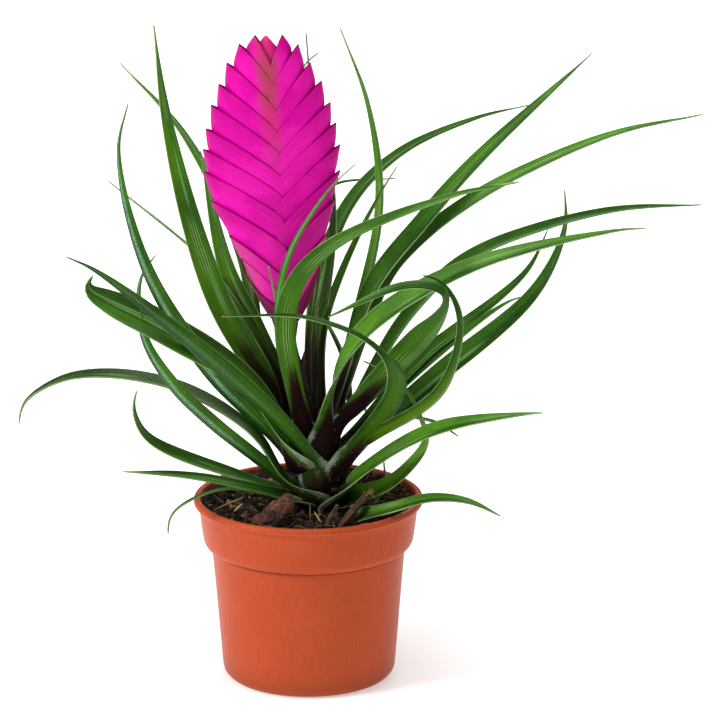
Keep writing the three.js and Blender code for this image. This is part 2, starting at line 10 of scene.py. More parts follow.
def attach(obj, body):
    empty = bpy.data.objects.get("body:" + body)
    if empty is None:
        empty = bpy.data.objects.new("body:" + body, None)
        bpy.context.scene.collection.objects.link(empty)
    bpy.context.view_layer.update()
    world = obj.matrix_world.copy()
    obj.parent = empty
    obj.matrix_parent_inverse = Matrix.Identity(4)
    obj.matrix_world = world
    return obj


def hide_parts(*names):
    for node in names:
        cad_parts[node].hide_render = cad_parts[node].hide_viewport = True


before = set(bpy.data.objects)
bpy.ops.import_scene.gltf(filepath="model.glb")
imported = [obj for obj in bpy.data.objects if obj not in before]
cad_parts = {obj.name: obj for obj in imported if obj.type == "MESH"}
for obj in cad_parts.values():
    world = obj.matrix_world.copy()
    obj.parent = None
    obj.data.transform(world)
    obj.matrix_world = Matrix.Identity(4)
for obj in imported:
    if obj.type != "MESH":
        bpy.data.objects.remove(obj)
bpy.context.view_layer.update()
mm = 0.001


def clamp(value, low=0.0, high=1.0):
    return max(low, min(high, value))


def lerp(start, end, share):
    return start + (end - start) * share


def smoothStep(value, low, high):
    t = clamp((value - low) / (high - low))
    return t * t * (3 - 2 * t)


def colour(red, green, blue):
    parts = [c / 255 for c in (red, green, blue)]
    return tuple(c / 12.92 if c <= 0.04045 else ((c + 0.055) / 1.055) ** 2.4 for c in parts) + (1.0,)


# Nodes: a socket given as a value is linked, anything else is set.
def node(tree, kind, inputs=None, **settings):
    made = tree.nodes.new(kind)
    for key, value in settings.items():
        setattr(made, key, value)
    for name, value in (inputs or {}).items():
        if isinstance(value, bpy.types.NodeSocket):
            tree.links.new(value, made.inputs[name])
        else:
            made.inputs[name].default_value = value
    return made


def mixColour(tree, share, below, above):
    return node(tree, "ShaderNodeMix", {0: share, 6: below, 7: above}, data_type="RGBA").outputs[2]


def maths(tree, task, first, second=0.0, limit=False):
    return node(tree, "ShaderNodeMath", {0: first, 1: second}, operation=task, use_clamp=limit).outputs[0]


def times(tree, first, *others):
    for other in others:
        first = maths(tree, "MULTIPLY", first, other)
    return first


def plus(tree, first, *others):
    for other in others:
        first = maths(tree, "ADD", first, other)
    return first


def minus(tree, first, second):
    return maths(tree, "SUBTRACT", first, second)


def drift(tree, value, amount):  # a value around one half, as a push up or down
    return times(tree, minus(tree, value, 0.5), amount)


def between(tree, value, low, high, toLow=0.0, toHigh=1.0):
    inputs = {"Value": value, "From Min": low, "From Max": high, "To Min": toLow, "To Max": toHigh}
    return node(tree, "ShaderNodeMapRange", inputs, interpolation_type="SMOOTHSTEP").outputs["Result"]


def ramp(tree, share, stops):
    made = node(tree, "ShaderNodeValToRGB", {0: share})
    elements = made.color_ramp.elements
    while len(elements) < len(stops):
        elements.new(1.0)
    for element, (position, tint) in zip(elements, stops):
        element.position = position
        element.color = tint
    return made.outputs[0]


def noiseOf(tree, vector, scale, detail=3.0, roughness=0.55):
    inputs = {"Vector": vector, "Scale": scale, "Detail": detail, "Roughness": roughness}
    return node(tree, "ShaderNodeTexNoise", inputs).outputs[0]


def bumpOf(tree, height, strength, distance, normal=None):
    inputs = {"Height": height, "Strength": strength, "Distance": distance}
    if normal is not None:
        inputs["Normal"] = normal
    return node(tree, "ShaderNodeBump", inputs).outputs[0]


def startGroup(name, inputs, outputs):
    tree = bpy.data.node_groups.new(name, "ShaderNodeTree")
    for title, kind, value in inputs:
        socket = tree.interface.new_socket(name=title, in_out="INPUT", socket_type=kind)
        if value is not None:
            socket.default_value = value
    for title, kind in outputs:
        tree.interface.new_socket(name=title, in_out="OUTPUT", socket_type=kind)
    return tree, tree.nodes.new("NodeGroupInput").outputs, tree.nodes.new("NodeGroupOutput")


def placeGroup(tree, group, inputs):
    return node(tree, "ShaderNodeGroup", inputs, node_tree=group).outputs


def attributeOf(tree, name, output="Fac"):
    return node(tree, "ShaderNodeAttribute", attribute_name=name).outputs[output]


def startMaterial(name, roughness, settings=None):
    material = bpy.data.materials.new(name)
    material.use_nodes = True
    tree = material.node_tree
    shader = tree.nodes["Principled BSDF"]
    shader.inputs["Roughness"].default_value = roughness
    for title, value in (settings or {}).items():
        shader.inputs[title].default_value = value
    return material, tree, shader


# Long streaks that follow a blade from foot to tip, read from its own map.
def makeStreakGroup():
    tree, given, out = startGroup(
        "lengthwiseStreaks",
        [("Map", "NodeSocketVector", None), ("Lines", "NodeSocketFloat", 40.0),
         ("Stretch", "NodeSocketFloat", 3.0)],
        [("Streak", "NodeSocketFloat"), ("Vein", "NodeSocketFloat")],
    )
    split = node(tree, "ShaderNodeSeparateXYZ", {0: given["Map"]}).outputs
    across = times(tree, split[0], given["Lines"])
    along = times(tree, split[1], given["Stretch"])
    stretched = node(tree, "ShaderNodeCombineXYZ", {0: across, 1: along}).outputs[0]
    streak = noiseOf(tree, stretched, 0.35, 2.0)
    wave = maths(tree, "SINE", plus(tree, times(tree, across, math.pi), streak))
    tree.links.new(streak, out.inputs[0])
    tree.links.new(between(tree, wave, 0.2, 1.0), out.inputs[1])
    return tree


# Powdery pale scales: a coarse patch broken by fine grains.
def makeScurfGroup():
    tree, given, out = startGroup(
        "paleScurf",
        [("Vector", "NodeSocketVector", None), ("Patch", "NodeSocketFloat", 160.0),
         ("Grain", "NodeSocketFloat", 1500.0),
         ("Cover", "NodeSocketFloat", 0.5)],
        [("Mask", "NodeSocketFloat")],
    )
    patch = noiseOf(tree, given["Vector"], given["Patch"], 4.0, 0.65)
    grain = noiseOf(tree, given["Vector"], given["Grain"], 2.0, 0.7)
    level = minus(tree, 1.0, given["Cover"])
    both = plus(tree, times(tree, patch, 0.58), times(tree, grain, 0.42))
    low = plus(tree, times(tree, level, 0.5), 0.2)
    mask = maths(tree, "DIVIDE", minus(tree, both, low), 0.12, limit=True)
    tree.links.new(mask, out.inputs[0])
    return tree


# Slow and fine colour change on any piece.
def makeMottleGroup():
    tree, given, out = startGroup(
        "mottle",
        [("Vector", "NodeSocketVector", None), ("Coarse", "NodeSocketFloat", 60.0),
         ("Fine", "NodeSocketFloat", 900.0)],
        [("Coarse", "NodeSocketFloat"), ("Fine", "NodeSocketFloat")],
    )
    tree.links.new(between(tree, noiseOf(tree, given["Vector"], given["Coarse"]), 0.3, 0.7), out.inputs[0])
    tree.links.new(noiseOf(tree, given["Vector"], given["Fine"], 4.0, 0.65), out.inputs[1])
    return tree


streakGroup = makeStreakGroup()
scurfGroup = makeScurfGroup()
mottleGroup = makeMottleGroup()
print("shared node groups ready")


def placeOf(tree):
    return node(tree, "ShaderNodeTexCoord").outputs["Object"]


def finishObject(name, mesh, materials, body="root"):
    for material in materials:
        mesh.materials.append(material)
    made = bpy.data.objects.new(name, mesh)
    bpy.context.scene.collection.objects.link(made)
    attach(made, body)
    return made


def finishBmesh(bm, name, materials):
    mesh = bpy.data.meshes.new(name)
    bm.to_mesh(mesh)
    bm.free()
    mesh.shade_smooth()
    return finishObject(name, mesh, materials)


def startGrid(bm, columns, rows):
    return bmesh.ops.create_grid(bm, x_segments=columns, y_segments=rows, size=1.0)["verts"]


def startLayers(bm, uvName, lookName, runName):
    layers = bm.verts.layers
    return bm.loops.layers.uv.new(uvName), layers.float_color.new(lookName), layers.float.new(runName)


def addSubdivision(piece):
    made = piece.modifiers.new("rounding", "SUBSURF")
    made.levels = 1
    made.render_levels = 1


def addThickness(piece, thickness, under=0, rim=0):
    made = piece.modifiers.new("thickness", "SOLIDIFY")
    made.thickness = thickness
    made.offset = 0.0
    made.use_even_offset = False
    made.material_offset = under
    made.material_offset_rim = rim


# A smooth route through knots: evenly spaced places and directions from end to end.
def smoothRoute(knots, count, fine=24):  # fine: places worked out between two knots
    knots = [Vector(k) for k in knots]
    padded = [2 * knots[0] - knots[1], *knots, 2 * knots[-1] - knots[-2]]
    places = []
    for a, b, c, d in zip(padded, padded[1:], padded[2:], padded[3:]):
        first, middle, last = (max((q - p).length, 1e-6) ** 0.5 for p, q in ((a, b), (b, c), (c, d)))
        leave = ((b - a) / first - (c - a) / (first + middle) + (c - b) / middle) * middle
        arrive = ((c - b) / middle - (d - b) / (middle + last) + (d - c) / last) * middle
        for k in range(fine):
            t = k / fine
            square = (3 * (c - b) - 2 * leave - arrive) * t * t
            cube = (2 * (b - c) + leave + arrive) * t ** 3
            places.append(b + leave * t + square + cube)
    places.append(knots[-1])
    runs = [0.0]
    for p, q in zip(places, places[1:]):
        runs.append(runs[-1] + (q - p).length)
    even, k = [], 0
    for i in range(count + 1):
        wanted = runs[-1] * i / count
        while k < len(runs) - 2 and runs[k + 1] < wanted:
            k += 1
        share = clamp((wanted - runs[k]) / max(runs[k + 1] - runs[k], 1e-9))
        even.append(places[k].lerp(places[k + 1], share))
    heads = [(even[min(i + 1, count)] - even[max(i - 1, 0)]).normalized() for i in range(count + 1)]
    return even, heads, runs[-1]


# Round strands of changing thickness, made as curves and turned into one mesh.
def strands(name, runs, materials, sides=0):
    curve = bpy.data.curves.new(name, "CURVE")
    curve.dimensions = "3D"
    curve.bevel_depth = 1.0
    curve.bevel_resolution = sides
    curve.use_fill_caps = True
    for run in runs:
        spline = curve.splines.new("POLY")
        spline.points.add(len(run) - 1)
        for point, (place, radius) in zip(spline.points, run):
            point.co = (*place, 1.0)
            point.radius = radius
    holder = bpy.data.objects.new(name + "Guide", curve)
    bpy.context.scene.collection.objects.link(holder)
    bpy.context.view_layer.update()
    mesh = bpy.data.meshes.new_from_object(holder.evaluated_get(bpy.context.evaluated_depsgraph_get()))
    bpy.data.objects.remove(holder)
    mesh.name = name
    mesh.materials.clear()
    mesh.shade_smooth()
    return finishObject(name, mesh, materials)


# Leaves
leafForm = {
    "stemFoot": (5.5, 0, 58.5),
    "stemTop": (1.4, 0, 92),
    "thickness": 0.62 * mm,
    "plainTaper": 1.7,
    "rollEase": 0.22,  # share of the length over which the roll comes in
    "footDrop": 9,  # from the first route point down to the foot
    "footSpan": (62, 86),  # lowest and highest foot
    "footOut": 0.62,  # foot's distance from the stem, against the first route point's
    # Share of the blade's width against the distance from its foot: a clasping hood, a neck, then the blade
    "hood": [(0, 0.6), (3, 1.25), (8, 1.62), (13, 1.32), (19, 0.82), (27, 0.66), (42, 0.74), (68, 0.95),
             (92, 1.0)],
    "crease": 0.3,
    "clasp": (1.3, 0.8, 24),  # bend of the section at the foot and along the blade, and where it has opened
    "hoodTwist": (6, 26),  # lengths between which the blade turns from facing the stem to its own way
    "ripple": 0.25,
    "rippleLength": 16,
    "tipHalf": 0.18,
    "rowLength": 4.5,
    "fewestRows": 22,
    "columns": 8,
    "runUnit": 100,  # the run attribute counts lengths of this size from the foot
}
leafColours = {
    "stain": colour(26, 8, 14),
    "stainEdge": colour(48, 30, 20),
    "deep": colour(12, 44, 6),
    "mid": colour(42, 95, 15),
    "bright": colour(82, 146, 24),
    "glow": colour(92, 132, 6),
    "margin": colour(140, 168, 98),
    "under": colour(60, 106, 28),
    "underDeep": colour(20, 58, 8),
    "sheen": colour(130, 182, 104),
    "silverSheenAndSpeck": colour(126, 168, 134),
    "line": colour(176, 214, 140),
    "scurf": colour(160, 168, 158),
}
# Each leaf: width, roll above the sheath and at the tip (or rows of share and roll), taper or None,
# look (tone, glow, scurf, stain), and the route of its midrib.
leftLeaves = [
    (13, (-30, -50), 3.2, (-0.12, 0.3, 0.6, 0.2), [(3, -7, 70), (-10, -9, 83), (-21, -8, 100),
     (-53, 2, 116.5), (-92, 8, 118.5), (-112, 10, 107), (-114, 10, 98)]),
    (13.5, (0, 30), 1.3, (0.06, 0.2, 0.9, 0.12), [(4, -9, 81.5), (-6, -13, 101), (-25, -24, 124),
     (-76, -66, 179), (-86, -74, 186)]),
    (18.5, (-58, -68), 6, (0.38, 0.5, 0.4, 0.2), [(-6.5, -7, 91), (-13, -7.5, 106), (-25, -7, 121.5),
     (-58, -10, 143.5), (-77, -13, 154), (-84.5, -15, 160), (-81, -16, 165)]),
    (12, (60, 20), None, (0.2, 0.0, 0.6, 0.3), [(-4, -5, 86), (-18, -8, 104), (-36, -11, 124),
     (-61, -14, 167), (-71, -11, 212), (-67, -8, 230)]),
    (11, (65, 40), None, (0.28, 0.0, 0.8, 0.25), [(-1, -3, 71), (-37, -10, 105), (-51, -13, 120),
     (-63, -10, 140), (-64, -3, 161), (-58, 2, 169)]),
    (11.5, (-5, -60), None, (0.45, 0.1, 0.5, 0.2), [(-3, -2, 71.5), (-21, -3, 79), (-62, -10, 99),
     (-67, -14, 113), (-65, -16, 120)]),
    (11, (-38, -20), None, (0.45, 0.1, 0.5, 0.2), [(-1, -5, 71), (-12, -10, 76), (-43, -29, 89),
     (-69, -48, 97)]),
    (6, (0, 0), None, (0.6, 0.1, 0.6, 0.2), [(-3, -4, 71), (-13, -10, 75), (-32, -22, 82), (-48, -32, 78.5),
     (-52.5, -34, 74), (-53, -36, 68)]),
    (13.5, [(0, -55), (0.5, -60), (0.75, -58), (1, -35)], None, (0.62, 0.5, 0.3, 0.8), [(-6, 5, 98),
     (-32.5, 8, 144), (-44, 13, 175), (-55, 24, 219), (-60, 36, 253)]),
    (12.5, (-30, -45), None, (0.6, 0.4, 0.3, 0.8), [(-4, 6, 101), (-21.5, 16, 137.5), (-32, 23, 158),
     (-43, 46, 201)]),
    (9, (-5, -30), None, (0.6, 0.2, 0.3, 0.7), [(-3, 8, 93), (-17, 13, 115), (-26, 31, 161), (-50, 58, 205),
     (-77, 78, 231)]),
    (8, [(0, -15), (0.42, 0), (0.58, 28), (1, 25)], None, (0.35, 0.3, 0.3, 0.8), [(-7, 5, 99),
     (-11, 7, 117), (-26, 13, 144), (-38, 23, 159), (-81, 56, 187)]),
]
middleLeaves = [
    (2.6, (0, 0), None, (0.8, 0.3, 0.2, 1), [(-4, -8, 118), (-10, -12, 142), (-12, -13, 155),
     (-14.5, -15, 168.6)]),
    (5.2, (0, 0), None, (0.5, 0.15, 0.2, 1), [(-2, -6, 100), (-11, -10, 136), (-8, -18, 170), (8, -23, 199),
     (19, -24, 210)]),
    (12.5, (45, 25), None, (0.6, 0.3, 0.2, 0.7), [(0, -6, 94), (-8, -13, 145), (-3, -19, 164),
     (11, -28, 180), (54, -54, 204), (68, -62, 209), (78, -68, 212)]),
    (15.5, [(0, -50), (0.3, -45), (0.4, -35), (0.52, 45), (0.62, 62), (1, 65)], 1.1, (0.36, 0.35, 0.8, 0.3),
     [(12.5, -4.5, 84), (20, -9.5, 96), (34.5, -24, 123), (27, -33, 141), (1, -45, 156), (-31, -52, 158)]),
]
rightLeaves = [
    (12, (50, 40), None, (0.45, 0.2, 0.4, 0.3), [(11, -7, 64.5), (17, -18, 69), (32, -28, 76),
     (47, -31, 81), (62, -35, 81), (74, -38, 76)]),
    (12.5, (65, 10), None, (0.85, 0.8, 0.3, 0.15), [(11, -4, 70), (33, -13, 82), (46.5, -17, 100),
     (45, -17, 106), (35, -16, 124), (21, -14, 131)]),
    (14, (50, 32), None, (0.5, 0.3, 0.5, 0.2), [(11.5, -9, 73.5), (20, -14.5, 85.5), (47, -34, 108.5),
     (82, -60, 123), (88, -64, 124.5)]),
    (12.5, [(0, -45), (0.3, -45), (0.5, -30), (0.65, -10), (1, 0)], None, (0.36, 0.8, 0.3, 0.3),
     [(13.5, -2.5, 88), (23, -10, 98), (51, -26, 122), (58, -34, 153), (50, -36, 168), (43, -37, 170)]),
    (15.5, [(0, -50), (0.5, -45), (0.6, -10), (0.7, 38), (1, 28)], 2.6, (0.48, 0.35, 0.4, 0.7),
     [(10, -2, 98), (20.5, -9, 113), (32.5, -18, 129), (52, -35, 157), (52, -38, 165), (37, -42, 168),
     (8, -46, 156)]),
    (13.5, [(0, -20), (0.1, -10), (0.2, 42), (0.3, 65), (0.5, 62), (1, 45)], None, (0.48, 0.3, 0.5, 0.36),
     [(6.5, -8, 97), (10.5, -10, 122), (23, -15, 144), (60, -32, 171.5), (113, -61, 192.5),
     (124, -68, 195)]),
    (12.5, (-25, -65), None, (0.5, 0.2, 0.4, 0.6), [(8, -2, 91), (23, -2, 119), (39, -3, 146),
     (61, -6, 169), (89, -9, 182), (119, -12, 190), (150, -14, 192)]),
    (12, (60, 65), None, (0.3, 0.1, 0.5, 0.35), [(12, 0, 85), (36, 2, 108), (51, 3, 121), (88, 10, 152),
     (100, 18, 175.5), (100, 24, 190)]),
    (11, (10, 35), None, (0.4, 0.4, 0.5, 0.4), [(12, 2, 88), (48, 14, 128), (54.5, 16, 132.5),
     (86, 32, 155), (95, 42, 170)]),
    (10, (10, 30), None, (0.5, 0.1, 0.4, 0.4), [(12, 2, 86), (36, 8, 114), (80, 19, 147), (86, 20, 148)]),
    (13.5, (0, 60), None, (0.45, 0.1, 0.4, 0.8), [(7, 3, 92), (15, 4, 123), (24.5, 8, 153.5),
     (44.5, 16, 178.5), (65, 27, 200), (112, 52, 239)]),
    (13.5, (0, 25), None, (0.62, 0.5, 0.4, 0.7), [(8, 5, 89), (30, 13, 155), (40, 16, 168), (67, 22, 188),
     (118, 32, 210), (155, 38, 217)]),
]
backLeaves = [
    (8, (0, 5), None, (0.6, 0.2, 0.3, 0.9), [(5, 7, 93), (17, 18, 132), (28, 34, 180), (24, 48, 217),
     (12, 62, 248)]),
    (8.5, (10, 15), None, (0.4, 0.1, 0.3, 1), [(1, 9, 101), (3, 29, 146), (15, 47, 178), (36, 64, 196.5),
     (67, 83, 207), (91, 98, 210)]),
    (6, (0, 0), None, (0.3, 0.1, 0.3, 1), [(2, 7, 97), (5, 9, 134), (10, 12, 178), (7, 25, 210),
     (1, 37, 230), (-1, 44, 249)]),
    (4.5, (0, 0), None, (0.3, 0.1, 0.3, 1), [(1, 9, 96), (0, 13, 132), (4, 23, 168), (-3, 59, 231),
     (4, 66, 237)]),
    (4, (55, 65), None, (0.4, 0.2, 0.3, 1), [(1, 8, 101), (1, 27, 150), (2, 39, 174), (8, 47, 186),
     (35, 64, 186)]),
    (7, (25, 10), None, (0.5, 0.2, 0.4, 1), [(6, 2, 99), (6, 6, 137), (14, 10, 162), (29, 19, 191),
     (35, 22, 200)]),
    (7, (0, 0), None, (0.4, 0.2, 0.4, 1), [(10, 5, 94), (16, 9, 105), (14, 17, 123), (0, 30, 148)]),
    (6, (0, 40), None, (0.6, 0, 3, 0.2), [(20, 6, 66), (28.5, 7, 71), (30, 7, 77), (29.6, 8, 84)]),
]
lowBackLeaves = {
    "count": 5,
    "seed": 11,
    "span": (62, 118),
    "reach": (70, 112),
    "top": (86, 100),
    "width": (8.5, 11.5),
    "swing": 14,
    "collar": (0.07, 76),  # share of the reach and height where they leave the stem
    "arch": ((0.3, -5), (0.62, 0), (0.88, -6), (1, -14)),  # share of the reach, and height against the top
    "look": (0.4, 0.1, 0.5, 0.4),
    "generator": (16807, 2147483647),
}


def stemAxis(height):
    foot, top = Vector(leafForm["stemFoot"]), Vector(leafForm["stemTop"])
    return foot.lerp(top, (height - foot.z) / (top.z - foot.z))


def through(rows, value):  # a smooth curve through rows of (value, result)
    value = clamp(value, rows[0][0], rows[-1][0])
    i = max(k for k in range(len(rows) - 1) if rows[k][0] <= value)
    (low, start), (high, end) = rows[i], rows[i + 1]

    def slope(k):
        a, b = rows[max(k - 1, 0)], rows[min(k + 1, len(rows) - 1)]
        return (b[1] - a[1]) / (b[0] - a[0])

    t = (value - low) / (high - low)
    ease = t * t * (3 - 2 * t)
    bend = (high - low) * (t * (1 - t) ** 2 * slope(i) - t * t * (1 - t) * slope(i + 1))
    return lerp(start, end, ease) + bend


def leafWidth(t, length, taper):
    return through(leafForm["hood"], t * length) * math.tanh(taper * (1 - t)) / math.tanh(taper)


def awayFrom(place):  # level, from the stem
    away = Vector(place) - stemAxis(place[2])
    return Vector((away.x, away.y, 0))


def leafFrames(roll, route, steps):
    foot = stemAxis(clamp(route[0][2] - leafForm["footDrop"],
                          *leafForm["footSpan"])) + awayFrom(route[0]) * leafForm["footOut"]
    places, heads, length = smoothRoute([foot, *route], steps)
    away, hoodAway = awayFrom(route[1]).normalized(), awayFrom(route[0]).normalized()
    side = Vector((-away.y, away.x, 0))
    twist = math.atan2(away.x * hoodAway.y - away.y * hoodAway.x, away.dot(hoodAway))
    rolls = [(0, roll[0]), (1, roll[1])] if isinstance(roll, tuple) else roll
    frames = []
    for i, (place, ahead) in enumerate(zip(places, heads)):
        t = i / steps
        side = (side - ahead * side.dot(ahead)).normalized()
        turn = math.radians(through(rolls, t)) * smoothStep(t, 0, leafForm["rollEase"])
        turned = Matrix.Rotation(turn + twist * (1 - smoothStep(t * length, *leafForm["hoodTwist"])), 3,
                                 ahead)
        frames.append((place, turned @ side, turned @ ahead.cross(side)))
    return frames, length


# A channelled strap: a grid laid along the midrib, then bent and narrowed row by row.
def addLeaf(bm, layers, leaf, rng):
    width, roll, taper, look, route = leaf
    taper = taper or leafForm["plainTaper"]
    rough = sum((Vector(b) - Vector(a)).length for a, b in zip(route, route[1:])) + leafForm["footDrop"]
    steps = max(leafForm["fewestRows"], round(rough / leafForm["rowLength"]))
    frames, length = leafFrames(roll, route, steps)
    mapLayer, lookLayer, runLayer = layers
    made = startGrid(bm, leafForm["columns"], steps)
    shares = {}
    offset = rng.random() * 40
    footBend, plainBend, opened = leafForm["clasp"]
    for vert in made:
        u, t = vert.co.x, (vert.co.y + 1) / 2
        shares[vert] = (u, t)
        place, side, inner = frames[min(round(t * steps), steps)]
        half = max(width * leafWidth(t, length, taper) / 2, leafForm["tipHalf"])
        bend = lerp(footBend, plainBend, smoothStep(t * length, 0, opened))
        radius = half / bend
        angle = bend * u
        crease = leafForm["crease"] * half * (abs(u) - u * u)
        up = radius * (1 + math.cos(bend)) / 2 - radius * math.cos(angle) + crease
        waves = noise.noise(Vector((t * length / leafForm["rippleLength"] + offset, u, 0)))
        ripple = leafForm["ripple"] * abs(u) ** 3 * waves
        vert.co = (place + side * radius * math.sin(angle) + inner * (up + ripple)) * mm
        vert[lookLayer] = look
        vert[runLayer] = t * length / leafForm["runUnit"]
    for face in {f for v in made for f in v.link_faces}:
        for loop in face.loops:
            u, t = shares[loop.vert]
            loop[mapLayer].uv = (0.5 + u / 2, t)


def seededBackLeaves():
    form = lowBackLeaves
    state = form["seed"]
    factor, modulus = form["generator"]

    def draw():
        nonlocal state
        state = state * factor % modulus
        return state / modulus

    made = []
    axis = stemAxis(form["collar"][1])
    spacing = (form["span"][1] - form["span"][0]) / form["count"]
    for k in range(form["count"]):
        bearing = form["span"][0] + spacing * (k + draw())
        reach, top = lerp(*form["reach"], draw()), lerp(*form["top"], draw())
        swing = lerp(-form["swing"], form["swing"], draw())
        width = lerp(*form["width"], draw())
        route = []
        arch = [form["collar"]] + [(share, top + rise) for share, rise in form["arch"]]
        for share, height in arch:
            turn = math.radians(bearing + swing * share * share)
            route.append((axis.x + reach * share * math.cos(turn), reach * share * math.sin(turn), height))
        made.append((width, (0, swing), None, form["look"], route))
    return made


def leafBase(tree, uv, run, look, stainReach, place, upper):
    c = leafColours
    split = node(tree, "ShaderNodeSeparateXYZ", {0: uv}).outputs
    looks = node(tree, "ShaderNodeSeparateColor", {0: look}).outputs
    streaks = placeGroup(tree, streakGroup, {"Map": uv, "Lines": 44.0, "Stretch": 5.0})
    mottled = placeGroup(tree, mottleGroup, {"Vector": place, "Coarse": 42.0, "Fine": 1400.0})
    centre = maths(tree, "ABSOLUTE", minus(tree, split[0], 0.5))
    tone = plus(tree, looks[0], drift(tree, streaks[0], 0.9))
    tone = plus(tree, tone, drift(tree, mottled[0], 0.35))
    # painted shade: one half of the blade is made darker and the other lighter, as light falls across the
    # channel
    tone = plus(tree, tone, between(tree, split[0], 0.44, 0.56, -0.17, 0.17))
    if upper:
        green = ramp(tree, tone, [(0.0, c["deep"]), (0.5, c["mid"]), (1.0, c["bright"])])
    else:
        green = ramp(tree, tone, [(0.0, c["underDeep"]), (0.6, c["under"]), (1.0, c["bright"])])
    # yellow-green glow: partly the blade's own yellowish centre, partly painted light shining through the
    # blade
    glowSpan = times(tree, between(tree, run, 0.1, 0.4), between(tree, run, 1.1, 0.5))
    glow = times(tree, looks[1], glowSpan, between(tree, centre, 0.5, 0.1))
    green = mixColour(tree, glow, green, c["glow"])
    green = mixColour(tree, times(tree, streaks[1], 0.22), green, c["deep"])
    # painted sheen: a pale highlight band beside the crease, greenish on upper faces and silver on under
    # faces, above the sheath
    if upper:
        sheenStripe = times(tree, between(tree, split[0], 0.24, 0.38), between(tree, split[0], 0.52, 0.44))
        sheenStripe = times(tree, sheenStripe, between(tree, noiseOf(tree, place, 22.0, 1.0), 0.42, 0.62, 0.02, 0.8))
        sheenStripe = times(tree, sheenStripe, between(tree, streaks[0], 0.4, 0.6, 0.1, 1.0))
    else:
        sheenStripe = times(tree, between(tree, split[0], 0.34, 0.52), between(tree, split[0], 0.68, 0.54))
        sheenStripe = times(tree, sheenStripe, between(tree, looks[1], 0.3, 0.0, 0.0, 0.85))
        sheenStripe = times(tree, sheenStripe, between(tree, mottled[1], 0.4, 0.6, 0.35, 1.0))
    above = between(tree, run, 0.3, 0.6)
    green = mixColour(tree, times(tree, sheenStripe, above), green, c["sheen"] if upper else c["silverSheenAndSpeck"])
    # pale lengthwise lines: partly the blade's own veins, partly painted highlight lines, kept to patches
    # near the crease of lighter leaves
    veins = placeGroup(tree, streakGroup, {"Map": uv, "Lines": 19.0, "Stretch": 2.0})
    veinSheen = times(tree, between(tree, veins[1], 0.6, 1.0),
                  between(tree, noiseOf(tree, place, 26.0, 1.0), 0.44, 0.6))
    veinSheen = times(tree, veinSheen, above, between(tree, centre, 0.32, 0.1, 0.0, 0.7))
    veinSheen = times(tree, veinSheen, between(tree, looks[0], 0.38, 0.5, 0.12, 1.0))
    green = mixColour(tree, veinSheen, green, c["line"])
    # fine pale specks of the blade's own scales, in the same silver as the painted under-face sheen
    green = mixColour(tree, between(tree, mottled[1], 0.56, 0.68, 0.0, 0.2), green, c["silverSheenAndSpeck"])
    green = mixColour(tree, between(tree, centre, 0.47, 0.49, 0.0, 0.75), green, c["margin"])
    ragged = plus(tree, run, drift(tree, mottled[0], 0.07))
    ragged = plus(tree, ragged, drift(tree, streaks[0], 0.08))
    ragged = plus(tree, ragged, between(tree, centre, 0.1, 0.5, -0.05, 0.13))
    short = minus(tree, ragged, times(tree, stainReach, 0.5))
    green = mixColour(tree, between(tree, short, 0.13, -0.01), green, c["stainEdge"])
    green = mixColour(tree, between(tree, short, 0.05, -0.05), green, c["stain"])
    edge = maths(tree, "MAXIMUM", between(tree, centre, 0.2, 0.44), between(tree, run, 0.05, 0.02))
    cover = times(tree, edge, between(tree, run, 0.3, 0.12), 0.5)
    cover = plus(tree, cover, drift(tree, streaks[0], 0.4))
    cover = plus(tree, cover, times(tree, looks[2], between(tree, run, 0.5, 0.1, 0.4, 1.0), 0.15))
    scurf = placeGroup(tree, scurfGroup, {"Vector": place, "Patch": 230.0, "Grain": 1900.0,
                                          "Cover": plus(tree, cover, 0.07)})[0]
    powder = times(tree, scurf, between(tree, run, 0.5, 0.2, 0.1, 0.75))
    dull = maths(tree, "MAXIMUM", scurf, between(tree, short, 0.08, -0.02, 0.0, 0.6))
    return mixColour(tree, powder, green, c["scurf"]), streaks, mottled, dull


def makeLeafMaterial(name, upper):
    material, tree, shader = startMaterial(name, 0.4, {
        "Specular IOR Level": 0.34 if upper else 0.07,
        "Specular Tint": (0.72, 1.0, 0.4, 1),
        "Subsurface Weight": 0.05,
        "Subsurface Radius": (0.6, 1.0, 0.2),
        "Subsurface Scale": 0.0015,
    })
    uv = node(tree, "ShaderNodeUVMap", uv_map="leafMap").outputs[0]
    look = node(tree, "ShaderNodeAttribute", attribute_name="leafLook").outputs
    run = attributeOf(tree, "leafRun")
    base, streaks, mottled, dull = leafBase(tree, uv, run, look["Color"], look["Alpha"], placeOf(tree),
                                            upper)
    tree.links.new(base, shader.inputs["Base Color"])
    gloss = plus(tree, times(tree, mottled[1], 0.2), 0.2 if upper else 0.3)
    gloss = maths(tree, "ADD", gloss, times(tree, dull, 0.4), limit=True)
    tree.links.new(gloss, shader.inputs["Roughness"])
    height = plus(tree, times(tree, streaks[0], 0.6), times(tree, streaks[1], 0.4))
    ribs = bumpOf(tree, height, 0.35, 0.0003)
    grain = bumpOf(tree, mottled[1], 0.12, 0.0002, ribs)
    tree.links.new(grain, shader.inputs["Normal"])
    return material


leafUpper = makeLeafMaterial("leafUpperFace", True)
leafUnder = makeLeafMaterial("leafUnderFace", False)


def makeMarginMaterial():
    material, tree, shader = startMaterial("leafMargin", 0.45)
    run = attributeOf(tree, "leafRun")
    patches = placeGroup(tree, mottleGroup, {"Vector": placeOf(tree), "Coarse": 90.0, "Fine": 900.0})
    tint = mixColour(tree, patches[0], leafColours["margin"], colour(84, 124, 48))
    stainReach = attributeOf(tree, "leafLook", "Alpha")
    short = minus(tree, run, times(tree, stainReach, 0.5))
    tint = mixColour(tree, between(tree, short, 0.05, -0.1), tint, colour(60, 50, 32))
    tree.links.new(tint, shader.inputs["Base Color"])
    return material


